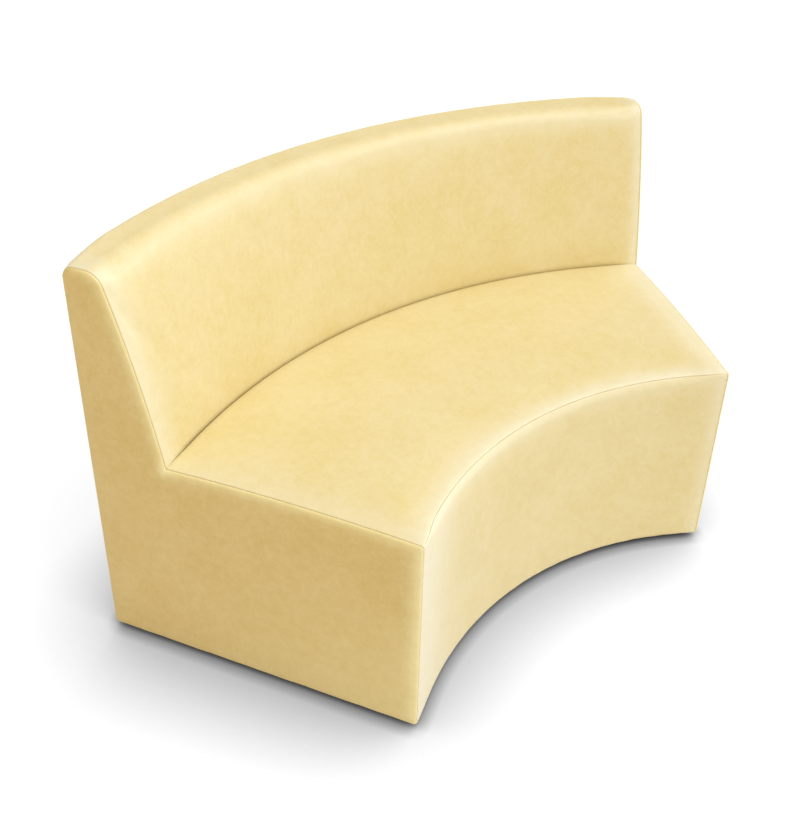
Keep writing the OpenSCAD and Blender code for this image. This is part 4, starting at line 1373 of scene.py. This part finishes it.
def cloth_ring(st, rs):
    """The lower and upper side of the dust cloth along one station."""
    pts = place(st, np.stack([rs, np.zeros(len(rs))], -1))
    s = ((HALF_CHORD - np.abs(pts[:, 0])) * cos(END_ANGLE)
         + (pts[:, 1] - ARC_Y - CORNER_Y) * sin(END_ANGLE))
    side_in = np.minimum(rs - CLOTH_FRONT_R, CLOTH_REAR_R - rs)
    edge_in = np.minimum(side_in, s - CLOTH_S)
    hem, near = np.full(len(rs), ABOVE_HEMS), LAP + LAP_RUN
    for height, where in ((hem_height(front_net[:, 0], pts), rs < CLOTH_FRONT_R + near),
                          (hem_height(rear_net[:, -1], pts), rs > CLOTH_REAR_R - near),
                          (low_hem(s - SEAM_IN), s < CLOTH_S + near)):
        hem = np.where(where, np.minimum(hem, height), hem)
    on_hem = 1 - ease((edge_in - LAP) / LAP_RUN)
    loose = ease((side_in - SAG_FROM) / SAG_RUN) * ease((s - CLOTH_S - SAG_FROM) / SAG_RUN)
    waves = ripple(pts[:, 0] * 0.4, 1.3) * ripple(pts[:, 1] * 0.5, 2.2)
    free = CLOTH_Z - loose * (CLOTH_SAG + WRINKLE * waves)
    upper = on_hem * (hem - LAP_CLEAR) + (1 - on_hem) * (free + CLOTH_T)
    layers = 1 + (1 - ease((edge_in - FOLD_W) / FOLD_RUN))
    rounding = (1 - np.minimum(1, np.maximum(edge_in, 0) / EDGE_ROUND)) ** 2
    lower = upper - CLOTH_T * layers * (1 - 0.5 * rounding)
    return [place(st, np.stack([rs, z], -1)) for z in (lower, upper)]


print("the dust cloth lies", CLOTH_Z, "mm above the floor and laps", LAP, "mm over the hems")

# %% Dust cloth
cloth_rs = graded(CLOTH_REAR_R - CLOTH_FRONT_R, CLOTH_STEP, EDGE_ROWS, EDGE_ROWS) + CLOTH_FRONT_R
inner_s = CLOTH_S + EDGE_ROWS[-1]
n_mid = 2 * round(0.5 * (FRONT_R + REAR_R) * sweep_angle(inner_s) / CLOTH_RING)
cloth_stations = [end_station(-1, CLOTH_S + e) for e in EDGE_ROWS]
cloth_stations += [mid_station(t, inner_s) for t in np.linspace(-1, 1, n_mid + 1)[1:-1]]
cloth_stations += [end_station(1, CLOTH_S + e) for e in EDGE_ROWS[::-1]]
cloth_lower, cloth_upper = (
    np.array(side) for side in zip(*(cloth_ring(st, cloth_rs) for st in cloth_stations)))
dust_cloth = closed_piece("dust_cloth_sheet", cloth_lower, cloth_upper, DUST_CLOTH)
own(dust_cloth, "dust_cloth", "dust_cover")

# %% [markdown]
# ## Staples and stitches
# Staples hold the dust cloth, one every 38 mm round its edge, driven by hand and so never quite
# in line. The seams are sewn with stitches a few millimetres long, which lie at the bottom of
# the groove. Both are one small item repeated along a path, so one node tree makes all of them:
# it turns the path into a curve, divides it evenly, and puts the item on each point with its
# back to the surface. It is evaluated at once and kept as a plain mesh.

# %% Staple and stitch
def tube(name, line, radius, sides, material):
    """A closed round bar along a line in the x-z plane, in millimetres."""
    line = np.asarray(line, float)
    ahead = np.gradient(line, axis=0)
    ahead /= np.linalg.norm(ahead, axis=1)[:, None]
    turn = 2 * pi * np.arange(sides) / sides
    points = []
    for (x, z), (dx, dz) in zip(line, ahead):
        points += [(x - dz * radius * sin(w), radius * cos(w), z + dx * radius * sin(w))
                   for w in turn]
    n = len(line)
    faces = ring_faces(n, sides)
    faces += [tuple(range(sides))[::-1], tuple(range((n - 1) * sides, n * sides))]
    if volume_of(points, faces[:-2]) < 0:
        faces = [f[::-1] for f in faces]
    return mesh_object(name, np.array(points) * MM, faces, material)


print("wire and thread can be bent")

# %% Node tree that repeats an item along a path
def repeat_tree():
    """The node tree, and the identifiers of its inputs by name."""
    tree = bpy.data.node_groups.new("repeat_along_path", "GeometryNodeTree")
    face = tree.interface
    face.new_socket("Path", in_out="INPUT", socket_type="NodeSocketGeometry")
    named = {n: face.new_socket(n, in_out="INPUT", socket_type="NodeSocket" + kind).identifier
             for n, kind in (("Item", "Object"), ("Pitch", "Float"), ("Turn", "Float"),
                             ("Seed", "Int"), ("Finish", "Material"))}
    face.new_socket("Items", in_out="OUTPUT", socket_type="NodeSocketGeometry")
    given = add_node(tree, "NodeGroupInput").outputs

    # Even points along the path.
    curve = in_order(tree, "GeometryNodeMeshToCurve", given["Path"])
    even = add_node(tree, "GeometryNodeResampleCurve", mode="LENGTH", Curve=curve,
                    Length=given["Pitch"])

    # The item's z axis points out of the surface and its x axis along the path.
    outwards = add_node(tree, "GeometryNodeInputNamedAttribute", data_type="FLOAT_VECTOR",
                        Name="outwards").outputs["Attribute"]
    stand = add_node(tree, "FunctionNodeAlignRotationToVector", axis="Z", Vector=outwards)
    follow = add_node(tree, "FunctionNodeAlignRotationToVector", axis="X", pivot_axis="Z",
                      Rotation=stand.outputs[0],
                      Vector=add_node(tree, "GeometryNodeInputTangent").outputs[0])

    # A small turn by chance, to either side.
    chance = add_node(tree, "FunctionNodeRandomValue", data_type="FLOAT", Seed=given["Seed"])
    least, most = [i for i in chance.inputs if i.type == "VALUE"][:2]
    feed(tree, least, maths(tree, "MULTIPLY", given["Turn"], -1.0))
    feed(tree, most, given["Turn"])
    turn = [o for o in chance.outputs if o.type == "VALUE"][0]
    askew = in_order(tree, "FunctionNodeEulerToRotation",
                     add_node(tree, "ShaderNodeCombineXYZ", Z=turn).outputs[0])
    twist = add_node(tree, "FunctionNodeRotateRotation", rotation_space="LOCAL",
                     **{"Rotation": follow.outputs[0], "Rotate By": askew})

    item = add_node(tree, "GeometryNodeObjectInfo", Object=given["Item"]).outputs["Geometry"]
    put = add_node(tree, "GeometryNodeInstanceOnPoints", Points=even.outputs[0], Instance=item,
                   Rotation=twist.outputs[0])
    real = in_order(tree, "GeometryNodeRealizeInstances", put.outputs[0])
    done = add_node(tree, "GeometryNodeSetMaterial", Geometry=real, Material=given["Finish"])
    add_node(tree, "NodeGroupOutput", Items=done.outputs[0])
    return tree, named


REPEAT, REPEAT_INPUTS = repeat_tree()
print("node tree with the inputs", *REPEAT_INPUTS)

# %% Repeat an item along a path
def repeated(name, item, path, outwards, closed, pitch, turn, seed):
    """Places an item along a path of points in millimetres and returns them all as one mesh."""
    mesh = bpy.data.meshes.new(name + "_path")
    n = len(path)
    edges = [(i, (i + 1) % n) for i in range(n if closed else n - 1)]
    mesh.from_pydata([tuple(p) for p in np.asarray(path) * MM], edges, [])
    mesh.attributes.new("outwards", "FLOAT_VECTOR", "POINT").data.foreach_set(
        "vector", np.asarray(outwards, np.float32).ravel())
    source = bpy.data.objects.new(name + "_path", mesh)
    bpy.context.scene.collection.objects.link(source)
    modifier = source.modifiers.new("repeat", "NODES")
    modifier.node_group = REPEAT
    for key, value in (("Item", item), ("Pitch", pitch * MM), ("Turn", turn), ("Seed", seed),
                       ("Finish", item.data.materials[0])):
        modifier[REPEAT_INPUTS[key]] = value
    graph = bpy.context.evaluated_depsgraph_get()
    done = bpy.data.meshes.new_from_object(source.evaluated_get(graph), depsgraph=graph)
    bpy.data.objects.remove(source)
    made = bpy.data.objects.new(name, done)
    bpy.context.scene.collection.objects.link(made)
    print(name, len(done.polygons), "faces")
    return made


# %% [markdown]
# ## Finishes of metal, thread and plastic
# Screws and staples are zinc-plated steel, dull silver and slightly cloudy. The thread is
# polyester of the vinyl's colour. The glides are moulded black plastic.

# %% Small finishes
def simple_material(name, dark, pale, scale, roughness, metallic=0.0):
    """A finish whose colour and gloss drift a little between two tones."""
    made, tree = new_material(name)
    coords = object_coords(tree)
    drift = between(tree, noise(tree, coords, scale, 4.0, 0.6), *NOISE_BAND)
    gloss = between(tree, drift, 0, 1, roughness + 0.08, roughness - 0.08)
    dents = bump(tree, noise(tree, coords, scale * 5, 3.0), 0.2, 0.0002)
    finish(tree, mix_colour(tree, drift, dark, pale), gloss, dents, Metallic=metallic)
    return made


ZINC = simple_material("zinc_plate", (0.50, 0.51, 0.52, 1), (0.74, 0.75, 0.76, 1),
                       160.0, 0.36, metallic=1.0)
THREAD = simple_material("polyester_thread", (0.58, 0.44, 0.20, 1), (0.72, 0.58, 0.30, 1),
                         900.0, 0.62)
print("made", ZINC.name, "and", THREAD.name)

# %% Staples
STAPLE_IN, STAPLE_PITCH, STAPLE_TURN, STAPLE_SEED = 7.0, 38.0, 0.14, 7
CROWN_HALF, STAPLE_LEG, STAPLE_BEND, STAPLE_ROUND, WIRE_R, SUNK = 5.0, 3.2, 0.9, 0.3, 0.35, 0.6
right_half = [(CROWN_HALF - STAPLE_BEND, 0), (CROWN_HALF - STAPLE_ROUND, -STAPLE_ROUND),
              (CROWN_HALF, -STAPLE_BEND), (CROWN_HALF, -STAPLE_LEG)]
left_half = [(-x, z) for x, z in right_half[::-1]]
staple = tube("staple_blank", left_half + right_half, WIRE_R, 8, ZINC)


def on_cloth(st, r):
    """A point on the lower side of the dust cloth."""
    return cloth_ring(st, np.array([float(r)]))[0][0] - (0, 0, WIRE_R * SUNK)


staple_s = CLOTH_S + STAPLE_IN
front_r, rear_r = CLOTH_FRONT_R + STAPLE_IN, CLOTH_REAR_R - STAPLE_IN
across = np.linspace(front_r, rear_r, 61)[1:-1]
staple_path = np.array(
    [on_cloth(mid_station(t, staple_s), front_r) for t in np.linspace(-1, 1, 121)]
    + [on_cloth(end_station(1, staple_s), r) for r in across]
    + [on_cloth(mid_station(t, staple_s), rear_r) for t in np.linspace(1, -1, 181)]
    + [on_cloth(end_station(-1, staple_s), r) for r in across[::-1]])
staples = repeated("dust_cloth_staples", staple, staple_path,
                   np.tile((0, 0, -1), (len(staple_path), 1)),
                   True, STAPLE_PITCH, STAPLE_TURN, STAPLE_SEED)
own(staples, "zinc_screw")
bpy.data.objects.remove(staple)

# %% Stitches
STITCH_LEN, STITCH_RISE, STITCH_R = 2.6, 0.3, 0.22
STITCH_PITCH, STITCH_UP, STITCH_TURN = 3.6, 0.25, 0.05
stitch_line = [(STITCH_LEN * (f - 0.5), 4 * f * (1 - f) * STITCH_RISE) for f in (0, 0.25, 0.75, 1)]
stitch = tube("stitch_blank", stitch_line, STITCH_R, 5, THREAD)
wall = len(SEAM_WALL)
seams = [("left_end_stitches", *left_seam, True), ("right_end_stitches", *right_seam, True)]
for name, grid in (("front_seam_stitches", seat_net), ("rear_seam_stitches", rear_net)):
    path = grid[wall:-wall, wall]
    seams.append((name, path, path - grid[wall:-wall, wall - 1], False))
for seed, (name, path, outwards, closed) in enumerate(seams):
    outwards = outwards / np.linalg.norm(outwards, axis=1, keepdims=True)
    sewn = repeated(name, stitch, path + outwards * STITCH_UP, outwards, closed, STITCH_PITCH,
                    STITCH_TURN, seed)
    own(sewn, "vinyl")
bpy.data.objects.remove(stitch)

# %% [markdown]
# ## Wood
# The ends, ribs, panels and deck are birch plywood: a pale, smooth face with a grain that runs
# up the panel. The rails, cleats and blocks are beech, sawn to the curve, whose grain follows
# the rail and shows the short dark flecks that beech has.

# %% Coordinates that follow the curve
WOOD_R = 1.1


def round_the_curve(tree, where):
    """The way round the curve at the radius of the wood, the distance from its axis, and z."""
    x, y, z = add_node(tree, "ShaderNodeSeparateXYZ", Vector=where).outputs
    from_axis = combine(tree, y, 1.0, -ARC_Y * MM)
    angle = maths(tree, "ARCTAN2", x, from_axis)
    away = maths(tree, "SQRT", combine(tree, x, x, combine(tree, from_axis, from_axis)))
    return in_order(tree, "ShaderNodeCombineXYZ", combine(tree, angle, WOOD_R), away, z)


print("the grain of the rails is drawn", WOOD_R, "m from the axis")

# %% Wood materials
PLY_PALE, PLY_DARK, PLY_DRAWN = (0.66, 0.50, 0.31, 1), (0.47, 0.31, 0.16, 1), (1, 1, 0.06)
BEECH_PALE, BEECH_DARK, BEECH_DRAWN = (0.60, 0.38, 0.22, 1), (0.43, 0.24, 0.12, 1), (0.07, 1, 1)
FLECK = (0.30, 0.16, 0.07, 1)


def wood_material(name, pale, dark, drawn, sawn=False):
    """Wood whose grain is drawn out along one way; sawn wood follows the curve, with flecks."""
    made, tree = new_material(name)
    where = object_coords(tree)
    if sawn:
        where = round_the_curve(tree, where)
    coords = add_node(tree, "ShaderNodeMapping", Vector=where, Scale=drawn).outputs[0]
    fine = noise(tree, coords, 160.0, 5.0, 0.65)
    grain = combine(tree, fine, 0.45, noise(tree, coords, 18.0, 3.0))
    colour = mix_colour(tree, between(tree, grain, 0.45, 1.0), pale, dark)
    if sawn:
        spots = between(tree, cells(tree, coords, 120.0), 0.16, 0.26, 0.55, 0.0)
        colour = mix_colour(tree, spots, colour, FLECK)
    gloss = between(tree, grain, 0.4, 1.0, 0.58, 0.70)
    finish(tree, colour, gloss, bump(tree, fine, 0.25, 0.0003))
    return made


PLYWOOD = wood_material("birch_plywood", PLY_PALE, PLY_DARK, PLY_DRAWN)
BEECH = wood_material("beech", BEECH_PALE, BEECH_DARK, BEECH_DRAWN, sawn=True)
PLASTIC = simple_material("black_plastic", (0.016, 0.016, 0.017, 1), (0.045, 0.045, 0.047, 1),
                          220.0, 0.47)
print("made", PLYWOOD.name + ",", BEECH.name, "and", PLASTIC.name)

# %% Finish of the frame
FINISHES = {
    PLYWOOD: ("left_end_panel", "left_rib", "center_rib", "right_rib", "right_end_panel",
              "front_panel", "rear_panel", "inner_back_panel", "seat_deck"),
    BEECH: ("front_bottom_rail", "rear_bottom_rail", "front_seat_rail", "rear_seat_rail",
            "back_mid_rail", "back_top_rail", "deck_cleats", "corner_blocks"),
    ZINC: ("panel_screws", "deck_screws", "glide_screws"),
    PLASTIC: ("glides",),
}
for material, names in FINISHES.items():
    for name in names:
        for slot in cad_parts[name].material_slots:
            slot.material = material
print("finished", sum(map(len, FINISHES.values())), "parts of the frame")
